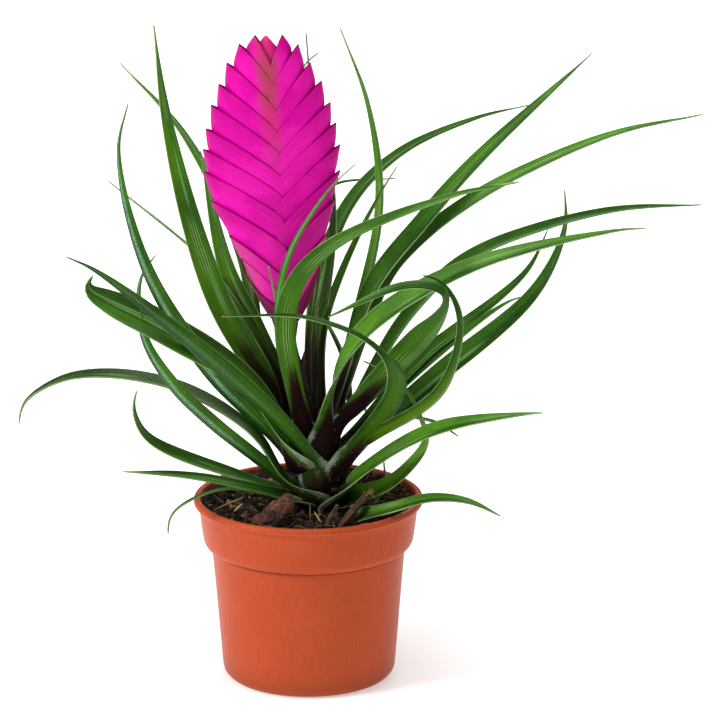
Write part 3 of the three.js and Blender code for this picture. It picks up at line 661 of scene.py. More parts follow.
leafMargin = makeMarginMaterial()


def makeLeaves(name, leaves, seed):
    bm = bmesh.new()
    layers = startLayers(bm, "leafMap", "leafLook", "leafRun")
    rng = random.Random(seed)
    for leaf in leaves:
        addLeaf(bm, layers, leaf, rng)
    piece = finishBmesh(bm, name, [leafUnder, leafUpper, leafMargin])
    addThickness(piece, leafForm["thickness"], under=1, rim=2)
    addSubdivision(piece)
    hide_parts("rosette")
    return piece


for title, group, seed in (
    ("leaves_left", leftLeaves, 3),
    ("leaves_middle", middleLeaves, 5),
    ("leaves_right", rightLeaves, 7),
    ("leaves_back", backLeaves + seededBackLeaves(), 9),
):
    made = makeLeaves(title, group, seed)
    print(title, "ready:", len(group), "leaves,", len(made.data.polygons), "faces before thickness")

# The short stem under the leaves
stemForm = {"radius": 5.2, "foot": 58.6, "top": 91.5, "rings": 12, "swell": 0.18, "knots": 0.05}


def makeStemMaterial():
    material, tree, shader = startMaterial("stemHusk", 0.8)
    place = placeOf(tree)
    patches = placeGroup(tree, mottleGroup, {"Vector": place, "Coarse": 260.0, "Fine": 1600.0})
    tint = mixColour(tree, patches[0], colour(30, 20, 18), colour(66, 46, 36))
    scurf = placeGroup(tree, scurfGroup, {"Vector": place, "Patch": 260.0, "Grain": 1700.0,
                                          "Cover": 0.4})[0]
    tree.links.new(mixColour(tree, times(tree, scurf, 0.6), tint, leafColours["scurf"]),
                   shader.inputs["Base Color"])
    tree.links.new(bumpOf(tree, patches[1], 0.5, 0.0006), shader.inputs["Normal"])
    return material


stemHusk = makeStemMaterial()
stemRun = []
for k in range(stemForm["rings"] + 1):
    share = k / stemForm["rings"]
    height = lerp(stemForm["foot"], stemForm["top"], share)
    swell = 1 - stemForm["swell"] + stemForm["swell"] * math.sin(math.pi * share)
    radius = stemForm["radius"] * (swell + stemForm["knots"] * math.sin(23 * share))
    stemRun.append((stemAxis(height) * mm, radius * mm))
stem = strands("rosette_stem", [stemRun], [stemHusk], 4)
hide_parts("rosette")
print("stem ready")

# Flower stalk
stalkForm = {
    "route": [(2.0, 0, 87.3), (-3.2, 0, 114), (-8, 0, 135.6)],
    "radius": (2.6, 3.4),
    "scales": 7,
    "scaleLength": 24,
    "scaleWidth": 10.5,
    "scaleOut": (2.6, 5.6),
    "scaleSpan": (0.3, 0.52),
    "scaleTurn": 144,
    "firstBearing": -60,
    "steps": 40,  # along the stalk
    "scaleColumns": 8,
    "scaleRows": 12,
    "scaleTaper": 2.4,
    "scaleBend": 1.25,
    "scaleDip": 1.15,
    "scaleThickness": 0.6 * mm,
}


def makeStalkMaterial():
    material, tree, shader = startMaterial("stalkSkin", 0.42)
    place = placeOf(tree)
    patches = placeGroup(tree, mottleGroup, {"Vector": place, "Coarse": 90.0, "Fine": 1300.0})
    tint = mixColour(tree, patches[0], colour(26, 13, 15), colour(70, 26, 32))
    height = node(tree, "ShaderNodeSeparateXYZ", {0: place}).outputs[2]
    tint = mixColour(tree, between(tree, height, 0.122, 0.142), tint, colour(96, 30, 52))
    tint = mixColour(tree, times(tree, between(tree, patches[1], 0.5, 0.75), 0.25), tint,
                     colour(84, 74, 44))
    tree.links.new(tint, shader.inputs["Base Color"])
    tree.links.new(bumpOf(tree, patches[1], 0.25, 0.0003), shader.inputs["Normal"])
    return material


stalkSkin = makeStalkMaterial()


def makeStalk():
    form = stalkForm
    steps, bend = form["steps"], form["scaleBend"]
    places, heads, length = smoothRoute(form["route"], steps)
    run = [(p * mm, lerp(*form["radius"], i / steps) * mm) for i, p in enumerate(places)]
    rod = strands("flower_stalk_rod", [run], [stalkSkin], 5)
    bm = bmesh.new()
    for k in range(form["scales"]):
        share = lerp(*form["scaleSpan"], k / (form["scales"] - 1))
        bearing = math.radians(form["scaleTurn"] * k + form["firstBearing"])
        out = Vector((math.cos(bearing), math.sin(bearing), 0))
        for vert in startGrid(bm, form["scaleColumns"], form["scaleRows"]):
            u, t = vert.co.x, (vert.co.y + 1) / 2
            at = min(share + t * form["scaleLength"] / length, 1) * steps
            low = min(int(at), steps - 1)
            centre, ahead = places[low].lerp(places[low + 1], at - low), heads[low]
            side = ahead.cross(out).normalized()
            half = max(form["scaleWidth"] * math.tanh(form["scaleTaper"] * (1 - t)) / 2, 0.15)
            spread = half / bend
            lift = lerp(*form["scaleOut"], t ** 1.5)
            dip = spread * (math.cos(bend * u) - 1) * form["scaleDip"]
            vert.co = (centre + out * (lift + dip) + side * spread * math.sin(bend * u)) * mm
    scales = finishBmesh(bm, "flower_stalk_scales", [stalkSkin])
    addThickness(scales, form["scaleThickness"])
    addSubdivision(scales)
    for piece in (rod, scales):
        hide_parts("flower_stalk")


makeStalk()
print("flower stalk ready")

# Flower quill
quillForm = {
    "foot": (-8, 0, 136),
    "tip": (-15.4, 0, 254.6),
    "bow": 0.6,
    "sweep": 119,
    "halfThickness": 5.4,
    "lift": 0.55,
    "thickness": 0.35 * mm,
    "rows": 24,
    "columns": 16,
    "overlap": 17,  # the keel starts this far below the lowest place of the margin
    "shortTop": (0.72, 4, 16),  # share of the fall left on narrow bracts, and the reaches it grows between
    "keel": (0.7, 0.55, 2.2),  # second knot: shares of the height and of the next reach; third: drop below
    "nextStep": (9, 3.5),  # height and reach from the lowest bract to the one that would come below it
    "huskStep": (9, 3.2),
    "huskDark": 0.85,
    "halfWidth": 30,  # unit of the look attribute across the quill
    "thinFoot": (0.62, 30),  # share of the thickness at the foot, and the height where it is whole
    "thinTop": (0.55, 85, 34),  # share lost at the top, from which height, and over which
    "notch": (0.3, 2.2, 40, 66),  # least, what is added, and the heights between which it grows
    "headRings": 40,
    "headTurns": 24,
    # Height of each tip above the quill's foot and its reach from the axis, highest first
    "leftTips": [(118.7, 4), (115.8, 10.2), (109, 15.3), (101, 18.8), (93.2, 22.2), (84.3, 24.8),
                 (76.5, 26.4),
                 (67.8, 27), (56.4, 25.2), (42.1, 18.9), (33, 14.6)],
    "rightTips": [(118.5, 6.2), (114.5, 12.1), (107.2, 16.4), (100, 20.3), (91.6, 23.2), (83.6, 25),
                  (75, 26),
                  (65, 25.4), (53.8, 22.8), (40.4, 18.6), (31, 15)],
    # Left and right: fall from tip to middle, run past the axis, straight share and power of the margin
    "margins": ((18.7, 3.0, 0.7, 2.2), (21.5, 0.2, 0.78, 2.6)),
    "husks": (((33, 15.2), (20, 1, 0, 0.4)), ((29.5, 15.4), (25, 0.5, 1, 1))),
    "outline": [(0, 5), (20, 11), (40, 18.4), (66, 26.6), (92, 23.2), (108, 16.9), (115, 12.8), (119, 5.2)],
}
quillFoot, quillTip = Vector(quillForm["foot"]), Vector(quillForm["tip"])
quillUp = (quillTip - quillFoot).normalized()
quillAcross = Vector((quillUp.z, 0, -quillUp.x))


def quillPoint(across, front, height):
    bow = quillForm["bow"] * math.sin(math.pi * height / quillForm["sweep"])
    return quillFoot + Vector((0, -front, 0)) + quillAcross * (across - bow) + quillUp * height


def quillReach(height):
    return through(quillForm["outline"], height)


def headThickness(across, height):
    least, whole = quillForm["thinFoot"]
    lost, start, span = quillForm["thinTop"]
    foot = least + (1 - least) * clamp(height / whole)
    top = 1 - lost * clamp((height - start) / span)
    share = clamp(abs(across) / quillReach(height))
    return quillForm["halfThickness"] * foot * top * math.sqrt(1 - share * share)


# A folded bract: one grid from back margin over the keel to front margin, and from foot to tip.
def addBract(bm, layers, side, tip, below, margin, husk=0.0):
    mapLayer, lookLayer, fallLayer = layers
    (tipHeight, reach), (fall, past, straight, power) = tip, margin
    kept, *reaches = quillForm["shortTop"]
    fall = min(fall * (kept + (1 - kept) * smoothStep(reach, *reaches)), tipHeight - 1)
    tall = min(fall + quillForm["overlap"], tipHeight)
    past = min(past, 0.6 * reach)
    least, added, *heights = quillForm["notch"]
    notch = least + added * smoothStep(tipHeight, *heights)
    belowHeight, belowReach = below
    place, share, drop = quillForm["keel"]
    keel = [(tipHeight - tall, -past), (tipHeight - place * tall, share * belowReach),
            (belowHeight - drop, belowReach - notch), (tipHeight, reach)]

    def marginFall(share):
        return fall * (straight * share + (1 - straight) * share ** power)

    shares = {}
    made = startGrid(bm, quillForm["columns"], quillForm["rows"])
    for vert in made:
        b, a = abs(vert.co.x), (vert.co.y + 1) / 2
        face = 1 if vert.co.x >= 0 else -1
        shares[vert] = (0.5 + vert.co.x / 2, a)
        keelHeight = tipHeight - tall * (1 - a)
        marginAcross = lerp(-past, reach, a)
        across = lerp(through(keel, keelHeight), marginAcross, b)
        height = lerp(keelHeight, tipHeight - marginFall(1 - a), b)
        swell = 1 - (1 - b) ** 4
        lift = quillForm["lift"] * b ** 1.5 * smoothStep(a, -0.1, 0.2) * (1 - 0.7 * a ** 6)
        lift -= 0.5 * (1 - smoothStep(a, -0.05, 0.2)) * (1 - b)
        front = 0.12 * (1 - a) + headThickness(across, height) * swell + lift * min(1, 4 * (1 - a) + 0.1)
        vert.co = quillPoint(side * across, face * front, height) * mm
        edge = tipHeight - marginFall(1 - clamp((across + past) / (reach + past)))
        outwards = clamp(abs(across) / quillForm["halfWidth"])
        vert[lookLayer] = (tipHeight / quillForm["sweep"], outwards, husk, 0.5 + side / 2)
        vert[fallLayer] = (edge - height) / 10
    faces = {f for v in made for f in v.link_faces}
    for face in faces:
        for loop in face.loops:
            loop[mapLayer].uv = shares[loop.vert]
    if side < 0:
        bmesh.ops.reverse_faces(bm, faces=list(faces))


def makeBractMaterial():
    material, tree, shader = startMaterial("bractSkin", 0.42, {
        "Specular IOR Level": 0.16,
        "Specular Tint": (1.0, 0.5, 0.9, 1),
        "Subsurface Weight": 0.06,
        "Subsurface Radius": (1.0, 0.2, 0.6),
        "Subsurface Scale": 0.0015,
    })
    uv = node(tree, "ShaderNodeUVMap", uv_map="bractMap").outputs[0]
    look = attributeOf(tree, "bractLook", "Color")
    below = attributeOf(tree, "bractFall")
    split = node(tree, "ShaderNodeSeparateXYZ", {0: uv}).outputs
    looks = node(tree, "ShaderNodeSeparateColor", {0: look}).outputs
    place = placeOf(tree)
    streaks = placeGroup(tree, streakGroup, {"Map": uv, "Lines": 60.0, "Stretch": 3.0})
    mottled = placeGroup(tree, mottleGroup, {"Vector": place, "Coarse": 75.0, "Fine": 1200.0})
    # painted shade: a dark line where each bract's margin overlaps the next, then the bract darker near its
    # own margin and brighter further below it
    wander = drift(tree, streaks[0], 0.3)
    depth = plus(tree, below, times(tree, wander, between(tree, below, 0.0, 0.2)))
    hot, warm = colour(214, 0, 150), colour(228, 0, 168)
    tint = ramp(tree, depth, [(0.0, colour(162, 0, 104)), (0.025, colour(184, 0, 122)),
                              (0.05, colour(208, 0, 144)), (0.35, hot), (0.9, warm)])
    tint = mixColour(tree, between(tree, mottled[0], 0.42, 0.85, 0.0, 0.3), tint, colour(236, 34, 178))
    tint = mixColour(tree, between(tree, mottled[0], 0.5, 0.15, 0.0, 0.4), tint, colour(186, 0, 138))
    tint = mixColour(tree, between(tree, streaks[0], 0.56, 0.76, 0.0, 0.12), tint, colour(240, 70, 190))
    tint = mixColour(tree, times(tree, between(tree, split[1], 0.6, 0.95), 0.5), tint, colour(176, 0, 122))
    centre = between(tree, looks[1], 0.42, 0.02)
    low = between(tree, looks[0], 0.7, 0.35)
    tint = mixColour(tree, times(tree, low, centre, 0.55), tint, colour(232, 40, 170))
    cone = times(tree, between(tree, looks[0], 0.5, 0.24), between(tree, looks[1], 0.1, 0.5))
    tint = mixColour(tree, times(tree, cone, 0.8), tint, colour(226, 84, 150))
    crown = times(tree, between(tree, looks[0], 0.7, 0.98), between(tree, looks[1], 0.2, 0.02))
    tint = mixColour(tree, times(tree, crown, 0.7), tint, colour(196, 52, 80))
    greenish = times(tree, crown, between(tree, mottled[0], 0.35, 0.9))
    tint = mixColour(tree, times(tree, greenish, 0.65), tint, colour(120, 72, 50))
    tint = mixColour(tree, between(tree, split[1], 0.95, 1.0, 0.0, 0.8), tint, colour(84, 10, 62))
    husk = mixColour(tree, between(tree, streaks[0], 0.35, 0.65), colour(40, 14, 22), colour(120, 28, 66))
    tint = mixColour(tree, looks[2], tint, husk)
    tree.links.new(tint, shader.inputs["Base Color"])
    gloss = plus(tree, times(tree, mottled[1], 0.22), 0.3)
    tree.links.new(gloss, shader.inputs["Roughness"])
    ribs = bumpOf(tree, plus(tree, times(tree, streaks[0], 0.7), times(tree, streaks[1], 0.3)), 0.3, 0.0003)
    tree.links.new(bumpOf(tree, mottled[1], 0.12, 0.0002, ribs), shader.inputs["Normal"])
    return material


bractSkin = makeBractMaterial()


def bractLayers(bm):
    return startLayers(bm, "bractMap", "bractLook", "bractFall")


def stepDown(tip, step):
    return tip[0] - step[0], tip[1] - step[1]


def makeBracts(name, side):
    which = 0 if side < 0 else 1
    tips, margin = quillForm["leftTips" if side < 0 else "rightTips"], quillForm["margins"][which]
    huskTip, huskMargin = quillForm["husks"][which]
    bm = bmesh.new()
    layers = bractLayers(bm)
    for tip, below in zip(tips, tips[1:] + [stepDown(tips[-1], quillForm["nextStep"])]):
        addBract(bm, layers, side, tip, below, margin)
    huskBelow = stepDown(huskTip, quillForm["huskStep"])
    addBract(bm, layers, side, huskTip, huskBelow, huskMargin, quillForm["huskDark"])
    piece = finishBmesh(bm, name, [bractSkin])
    addThickness(piece, quillForm["thickness"])
    addSubdivision(piece)
    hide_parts("flower_quill")


makeBracts("bracts_left", -1)
makeBracts("bracts_right", 1)


# The closed head under the bracts
def makeHead():
    bm = bmesh.new()
    sweep = quillForm["sweep"]
    _, look, fall = bractLayers(bm)
    for vert in startGrid(bm, quillForm["headTurns"], quillForm["headRings"]):
        turn, height = math.pi * (vert.co.x + 1), sweep * (0.003 + 0.99 * (vert.co.y + 1) / 2)
        radius = max(min(0.72 * quillReach(height), 0.8 * (sweep - height)), 0.3)
        thick = min(headThickness(0, height) * 0.9, radius)
        vert.co = quillPoint(radius * math.cos(turn), thick * math.sin(turn), height) * mm
        outwards = clamp(abs(radius * math.cos(turn)) / quillForm["halfWidth"])
        vert[look] = (height / sweep, outwards, smoothStep(height, 20, 10), 0.5)
        vert[fall] = 0.7
    bmesh.ops.remove_doubles(bm, verts=bm.verts, dist=1e-6)
    bmesh.ops.holes_fill(bm, edges=[e for e in bm.edges if e.is_boundary], sides=0)
    bmesh.ops.recalc_face_normals(bm, faces=bm.faces)
    return finishBmesh(bm, "quill_head", [bractSkin])


head = makeHead()
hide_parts("flower_quill")
print("flower quill ready")

# Pot
potForm = {
    "turns": 144,
    # Radius and height, from the middle of the base up the outside to the rim, and down the inside
    "outer": [(0, 0), (28.5, 0), (30.2, 0), (32.6, 0.7), (33.8, 2.2), (34.2, 4), (35.3, 18), (36.7, 36),
              (38.1, 52.8), (38.9, 52.9), (39.75, 53.3), (40.5, 53.95), (41.0, 54.8), (41.35, 55.8),
              (41.5, 57), (42.1, 61), (42.7, 66.5), (43.0, 69.6), (43.2, 69.95), (44.3, 70.0),
              (44.75, 70.25), (45.0, 70.7), (44.98, 71.2), (44.8, 71.45), (44.95, 71.7), (44.75, 72.2),
              (44.3, 72.5), (43.9, 72.35), (43.55, 72.55), (43.1, 72.6), (42.6, 72.5)],
    "inner": [(42.2, 72.0), (41.9, 70), (41.1, 64), (40.3, 57.4), (39.6, 56.4), (38.2, 55.2), (37.2, 53.8),
              (36.9, 52.8), (35.4, 34), (34.0, 17), (33.0, 4.8), (32.2, 2.8), (30.2, 1.6), (0, 1.6)],
    "holes": 8,
    "holeRadius": 3,
    "holeRing": 21,
    "holeSides": 32,
    "holeDepth": 8,
    "groove": 52.8 * mm,  # inner corner under the collar
    "grooveReach": 1.3 * mm,  # how far the painted shade spreads down the body
    "sharpAngle": 48,
}


def makePotMaterial():
    material, tree, shader = startMaterial("terracottaPlastic", 0.46, {
        "Specular IOR Level": 0.09,
        "Specular Tint": (1.0, 0.72, 0.55, 1),
        "Subsurface Weight": 0.05,
        "Subsurface Scale": 0.002,
    })
    place = placeOf(tree)
    split = node(tree, "ShaderNodeSeparateXYZ", {0: place}).outputs
    turn = maths(tree, "ARCTAN2", split[1], split[0])
    around, upwards = times(tree, turn, 90.0), times(tree, split[2], 160.0)
    wrapped = node(tree, "ShaderNodeCombineXYZ", {0: around, 1: upwards}).outputs[0]
    drawn = noiseOf(tree, wrapped, 1.0, 3.0, 0.6)
    patches = placeGroup(tree, mottleGroup, {"Vector": place, "Coarse": 24.0, "Fine": 2200.0})
    tint = mixColour(tree, between(tree, drawn, 0.3, 0.75), colour(183, 77, 45), colour(171, 69, 38))
    tint = mixColour(tree, times(tree, patches[0], 0.35), tint, colour(193, 87, 53))
    tint = mixColour(tree, between(tree, patches[1], 0.62, 0.72, 0.0, 0.25), tint, colour(190, 98, 66))
    scuff = between(tree, noiseOf(tree, place, 140.0, 5.0, 0.75), 0.62, 0.72)
    tint = mixColour(tree, times(tree, scuff, 0.14), tint, colour(200, 122, 92))
    # painted shade: a dark band just under the collar, darkest in the inner corner and fading down the body
    groove, reach = potForm["groove"], potForm["grooveReach"]
    underneath = between(tree, split[2], groove - reach, groove)
    shade = times(tree, underneath, between(tree, split[2], groove + 0.5 * reach, groove))
    tint = mixColour(tree, times(tree, shade, 0.7), tint, colour(98, 36, 20))
    # darker and browner towards the bottom
    lowDarkening = times(tree, between(tree, split[2], 0.012, 0.0), 0.35)
    tint = mixColour(tree, lowDarkening, tint, colour(120, 66, 46))
    tree.links.new(tint, shader.inputs["Base Color"])
    gloss = plus(tree, times(tree, drawn, 0.18), 0.28)
    tree.links.new(plus(tree, gloss, times(tree, scuff, 0.2)), shader.inputs["Roughness"])
    lined = bumpOf(tree, drawn, 0.1, 0.0004)
    tree.links.new(bumpOf(tree, patches[1], 0.12, 0.0002, lined), shader.inputs["Normal"])
    return material


potPlastic = makePotMaterial()


def lathe(profile, turns):
    bm = bmesh.new()
    chain = [bm.verts.new((r * mm, 0, z * mm)) for r, z in profile]
    edges = [bm.edges.new(pair) for pair in zip(chain, chain[1:])]
    bmesh.ops.spin(bm, geom=chain + edges, cent=(0, 0, 0), axis=(0, 0, 1), dvec=(0, 0, 0), angle=math.tau,
                   steps=turns, use_merge=True, use_duplicate=False)
    bmesh.ops.remove_doubles(bm, verts=bm.verts, dist=1e-6)
    bmesh.ops.recalc_face_normals(bm, faces=bm.faces)
    return bm


def makePot():
    piece = finishBmesh(lathe(potForm["outer"] + potForm["inner"], potForm["turns"]), "pot_shell",
                        [potPlastic])
    bm = bmesh.new()
    radius = potForm["holeRadius"] * mm
    for k in range(potForm["holes"]):
        turn = math.tau * (k + 0.5) / potForm["holes"]
        spot = Vector((math.cos(turn), math.sin(turn), 0)) * potForm["holeRing"] * mm
        bmesh.ops.create_cone(bm, cap_ends=True, segments=potForm["holeSides"], radius1=radius,
                              radius2=radius,
                              depth=potForm["holeDepth"] * mm, matrix=Matrix.Translation(spot))
    cutter = bpy.data.objects.new("drainCutter", bpy.data.meshes.new("drainCutter"))
    bm.to_mesh(cutter.data)
    bm.free()
    bpy.context.scene.collection.objects.link(cutter)
    cut = piece.modifiers.new("drain holes", "BOOLEAN")
    cut.object = cutter
    cut.operation = "DIFFERENCE"
    cut.solver = "EXACT"
    bpy.context.view_layer.update()
    mesh = bpy.data.meshes.new_from_object(piece.evaluated_get(bpy.context.evaluated_depsgraph_get()))
    piece.modifiers.clear()
    bpy.data.objects.remove(cutter)
    piece.data = mesh
    mesh.shade_smooth()
    mesh.set_sharp_from_angle(angle=math.radians(potForm["sharpAngle"]))
    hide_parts("pot")


makePot()
print("pot ready")

# Soil
soilForm = {
    "height": 68.4,
    "rise": 0.04,
    "bank": 2.1,  # higher against the wall at the back and sides
    "side": [(0, 1.9), (29.8, 1.9), (31.8, 3.1), (32.7, 5.1), (36.6, 52.9), (37.0, 54), (39.2, 56.2),
             (40.0, 57.6), (41.0, 66)],
    "edge": 41.25,
    "rings": 54,
    "turns": 180,
    "crumbs": 2300,
    "crumbSize": (0.3, 1.25, 2.4),  # least radius, what is added, and how rare the large ones are
    "crumbZone": (8.5, 40.4, 40.6),  # radii of the ring they fall in, and the furthest from the pot's axis
    "fibres": 260,
    "fibreZone": (9, 37, 41),
    "fibreLength": (3, 10),
    "fibreRadius": (0.07, 0.17),
    "seed": 21,
}


def soilTop(x, y):
    lumps = 0.5 * math.sin(x * 0.31 + 1) * math.cos(y * 0.27) + 0.35 * math.sin(x * 0.17 - y * 0.36)
    banked = smoothStep(math.hypot(x, y), 28, 39) * smoothStep(y + 0.6 * abs(x), -12, 16)
    return soilForm["height"] + soilForm["rise"] * y + lumps + soilForm["bank"] * banked


def soilRelief(x, y):
    spot = Vector((x, y, 0))
    coarse = noise.fractal(spot / 5.5, 0.9, 2.1, 3)
    fine = noise.fractal(spot / 1.6 + Vector((9, 4, 2)), 0.8, 2.2, 2)
    return soilTop(x, y) + 0.9 * coarse + 0.45 * fine


def makeSoilMaterial(name, attribute=None):
    material, tree, shader = startMaterial(name, 0.95, {"Specular IOR Level": 0.3})
    place = placeOf(tree)
    patches = placeGroup(tree, mottleGroup, {"Vector": place, "Coarse": 320.0, "Fine": 2300.0})
    tint = mixColour(tree, patches[0], colour(13, 9, 7), colour(56, 40, 30))
    tint = mixColour(tree, between(tree, patches[1], 0.57, 0.66, 0.0, 0.75), tint, colour(134, 104, 72))
    if attribute:
        look = attributeOf(tree, attribute)
        tint = mixColour(tree, between(tree, look, 0.7, 0.86, 0.0, 0.9), tint, colour(124, 72, 48))
        tint = mixColour(tree, between(tree, look, 0.92, 0.96, 0.0, 0.9), tint, colour(176, 148, 108))
        tint = mixColour(tree, between(tree, look, 0.5, 0.2, 0.0, 0.75), tint, colour(12, 8, 7))
    tree.links.new(tint, shader.inputs["Base Color"])
    tree.links.new(bumpOf(tree, patches[1], 0.9, 0.0012), shader.inputs["Normal"])
    return material


peatSurface = makeSoilMaterial("peatSurface")
peatCrumb = makeSoilMaterial("peatCrumb", "crumbTone")


def makeSoil():
    rings = soilForm["rings"]
    top = [(soilForm["edge"] * (1 - k / rings), soilForm["height"]) for k in range(rings)]
    bm = lathe(soilForm["side"] + top + [(0, soilForm["height"])], soilForm["turns"])
    for vert in bm.verts:
        if vert.co.z > (soilForm["height"] - 0.01) * mm:
            x, y = vert.co.x / mm, vert.co.y / mm
            inwards = clamp((soilForm["edge"] - math.hypot(x, y)) / 2)
            vert.co.z = lerp(soilTop(x, y), soilRelief(x, y), 0.4 + 0.6 * inwards) * mm
    piece = finishBmesh(bm, "soil_body", [peatSurface])
    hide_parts("soil")


def soilSpot(rng, inner, outer):
    turn = rng.uniform(0, math.tau)
    radius = math.sqrt(rng.uniform(inner ** 2, outer ** 2))
    return radius * math.cos(turn) + 1, radius * math.sin(turn)


def makeCrumbs():
    rng = random.Random(soilForm["seed"])
    bm = bmesh.new()
    tone = bm.verts.layers.float.new("crumbTone")
    inner, outer, furthest = soilForm["crumbZone"]
    least, added, rare = soilForm["crumbSize"]
    for _ in range(soilForm["crumbs"]):
        x, y = soilSpot(rng, inner, outer)
        if math.hypot(x, y) > furthest:
            continue
        size = least + added * rng.random() ** rare
        value = rng.random()
        turned = Matrix.Rotation(rng.uniform(0, math.tau), 4,
                                 (rng.random(), rng.random(), rng.random() + 0.1))
        squashed = Matrix.Diagonal((rng.uniform(0.7, 1.5), rng.uniform(0.6, 1.1), rng.uniform(0.45, 0.95),
                                    1))
        place = Matrix.Translation(Vector((x, y, soilRelief(x, y) + 0.3 * size)) * mm)
        made = bmesh.ops.create_icosphere(bm, subdivisions=1, radius=size * mm,
                                          matrix=place @ turned @ squashed)["verts"]
        for vert in made:
            vert.co += Vector([rng.uniform(-1, 1) for _ in range(3)]) * size * 0.22 * mm
            vert[tone] = value
    piece = finishBmesh(bm, "soil_crumbs", [peatCrumb])
    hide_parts("soil")


def makeFibreMaterial(name, dark, light):
    material, tree, shader = startMaterial(name, 0.7)
    patches = placeGroup(tree, mottleGroup, {"Vector": placeOf(tree), "Coarse": 130.0, "Fine": 1800.0})
    tint = mixColour(tree, patches[0], dark, light)
    tree.links.new(mixColour(tree, between(tree, patches[1], 0.5, 0.7, 0.0, 0.4), tint, dark),
                   shader.inputs["Base Color"])
    return material


coirFibre = makeFibreMaterial("coirFibre", colour(74, 48, 32), colour(168, 130, 88))
paleStraw = makeFibreMaterial("paleStraw", colour(140, 108, 66), colour(206, 176, 124))


def fibreRun(rng, start, heading, length, radius, rise=0.35, wander=0.5, steps=6):
    place = Vector(start)
    ahead = Vector(heading).normalized()
    run = []
    for k in range(steps + 1):
        taper = 1 - 0.7 * abs(2 * k / steps - 1) ** 3
        run.append((place * mm, radius * taper * mm))
        turn = Vector((rng.uniform(-1, 1), rng.uniform(-1, 1), rng.uniform(-1, 1) * rise)) * wander
        ahead = (ahead + turn / steps * 3).normalized()
        place = place + ahead * length / steps
    return run


def makeFibres():
    rng = random.Random(soilForm["seed"] + 1)
    inner, outer, furthest = soilForm["fibreZone"]
    runs = []
    for _ in range(soilForm["fibres"]):
        x, y = soilSpot(rng, inner, outer)
        turn = rng.uniform(0, math.tau)
        heading = (math.cos(turn), math.sin(turn), rng.uniform(-0.1, 0.35))
        length, radius = rng.uniform(*soilForm["fibreLength"]), rng.uniform(*soilForm["fibreRadius"])
        run = fibreRun(rng, (x, y, soilRelief(x, y) + 0.35), heading, length, radius)
        runs.append([(Vector((p.x, p.y, max(p.z, soilRelief(p.x / mm, p.y / mm) * mm))), r) for p, r in run
                     if math.hypot(p.x, p.y) < furthest * mm])
    piece = strands("soil_fibres", [run for run in runs if len(run) > 2], [coirFibre])
    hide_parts("soil")


makeSoil()
makeCrumbs()
makeFibres()
print("soil ready")

# Bark
barkForm = {
    # Corners of the chip as seen from the front: across and up
    "chip": [(-6.7, 79.6), (-5.2, 75.9), (-7.2, 70.2), (-9.5, 66.4), (-17.6, 66.2), (-21.9, 68),
             (-17.2, 72.3), (-11.8, 77.1)],
    "chipMiddle": (-12.2, -21.5, 71.4),
    "chipThickness": 7,
    "largeStick": {"from": (12.3, -25, 67.4), "to": (23, -20.5, 79.4), "width": 3.3, "thickness": 2.8},
    "smallStick": {"from": (7.3, -26, 68.2), "to": (11.7, -22, 75.6), "width": 2, "thickness": 1.7},
    "shape": [(0, 0.6), (0.2, 0.95), (0.5, 1), (0.8, 0.85), (1, 0.5)],
    "stickGrid": (24, 36),
    "chipGrid": (64, 28),
}


def makeBarkMaterial(name, dark, mid, light, lengthwise):
    material, tree, shader = startMaterial(name, 0.85)
    place = placeOf(tree)
    turned = node(tree, "ShaderNodeMapping", {"Vector": place, "Rotation": (0.0, -0.4, -0.9),
                                              "Scale": (1.0, lengthwise, lengthwise)}).outputs[0]
    patches = placeGroup(tree, mottleGroup, {"Vector": turned, "Coarse": 190.0, "Fine": 900.0})
    tint = mixColour(tree, patches[0], dark, mid)
    tint = mixColour(tree, between(tree, patches[1], 0.52, 0.68, 0.0, 0.8), tint, light)
    tree.links.new(tint, shader.inputs["Base Color"])
    tree.links.new(bumpOf(tree, patches[1], 0.8, 0.0012), shader.inputs["Normal"])
    return material


barkChip = makeBarkMaterial("barkChip", colour(44, 24, 20), colour(112, 62, 48), colour(164, 122, 84), 1.6)
barkStick = makeBarkMaterial("barkStick", colour(58, 38, 26), colour(104, 72, 48), colour(150, 112, 78),
                             4.0)


def closeSides(bm):
    bmesh.ops.remove_doubles(bm, verts=bm.verts, dist=1e-6)
    bmesh.ops.holes_fill(bm, edges=[e for e in bm.edges if e.is_boundary], sides=0)
    bmesh.ops.triangulate(bm, faces=[f for f in bm.faces if len(f.verts) > 4])
    bmesh.ops.recalc_face_normals(bm, faces=bm.faces)


def makeStick(name, form, part, rough=0.5):
    start, end = Vector(form["from"]), Vector(form["to"])
    ahead = (end - start).normalized()
    side = ahead.cross(Vector((0, 0, 1))).normalized()
    up = side.cross(ahead)
    bm = bmesh.new()
    for vert in startGrid(bm, *barkForm["stickGrid"]):
        turn, t = math.pi * (vert.co.x + 1), (vert.co.y + 1) / 2
        share = through(barkForm["shape"], t)
        ridge = 1 + 0.2 * math.sin(5 * turn + 2 * t)
        spot = start.lerp(end, t) + side * share * ridge * form["width"] * math.cos(turn) / 2
        spot = spot + up * share * ridge * form["thickness"] * math.sin(turn) / 2
        torn = noise.fractal(Vector((turn * 1.6, t * 2.2, form["width"])), 0.8, 2.0, 3)
        outwards = (side * math.cos(turn) + up * math.sin(turn)) * torn * rough
        vert.co = (spot + outwards) * mm
    closeSides(bm)
    piece = finishBmesh(bm, name, [barkStick])
    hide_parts(part)


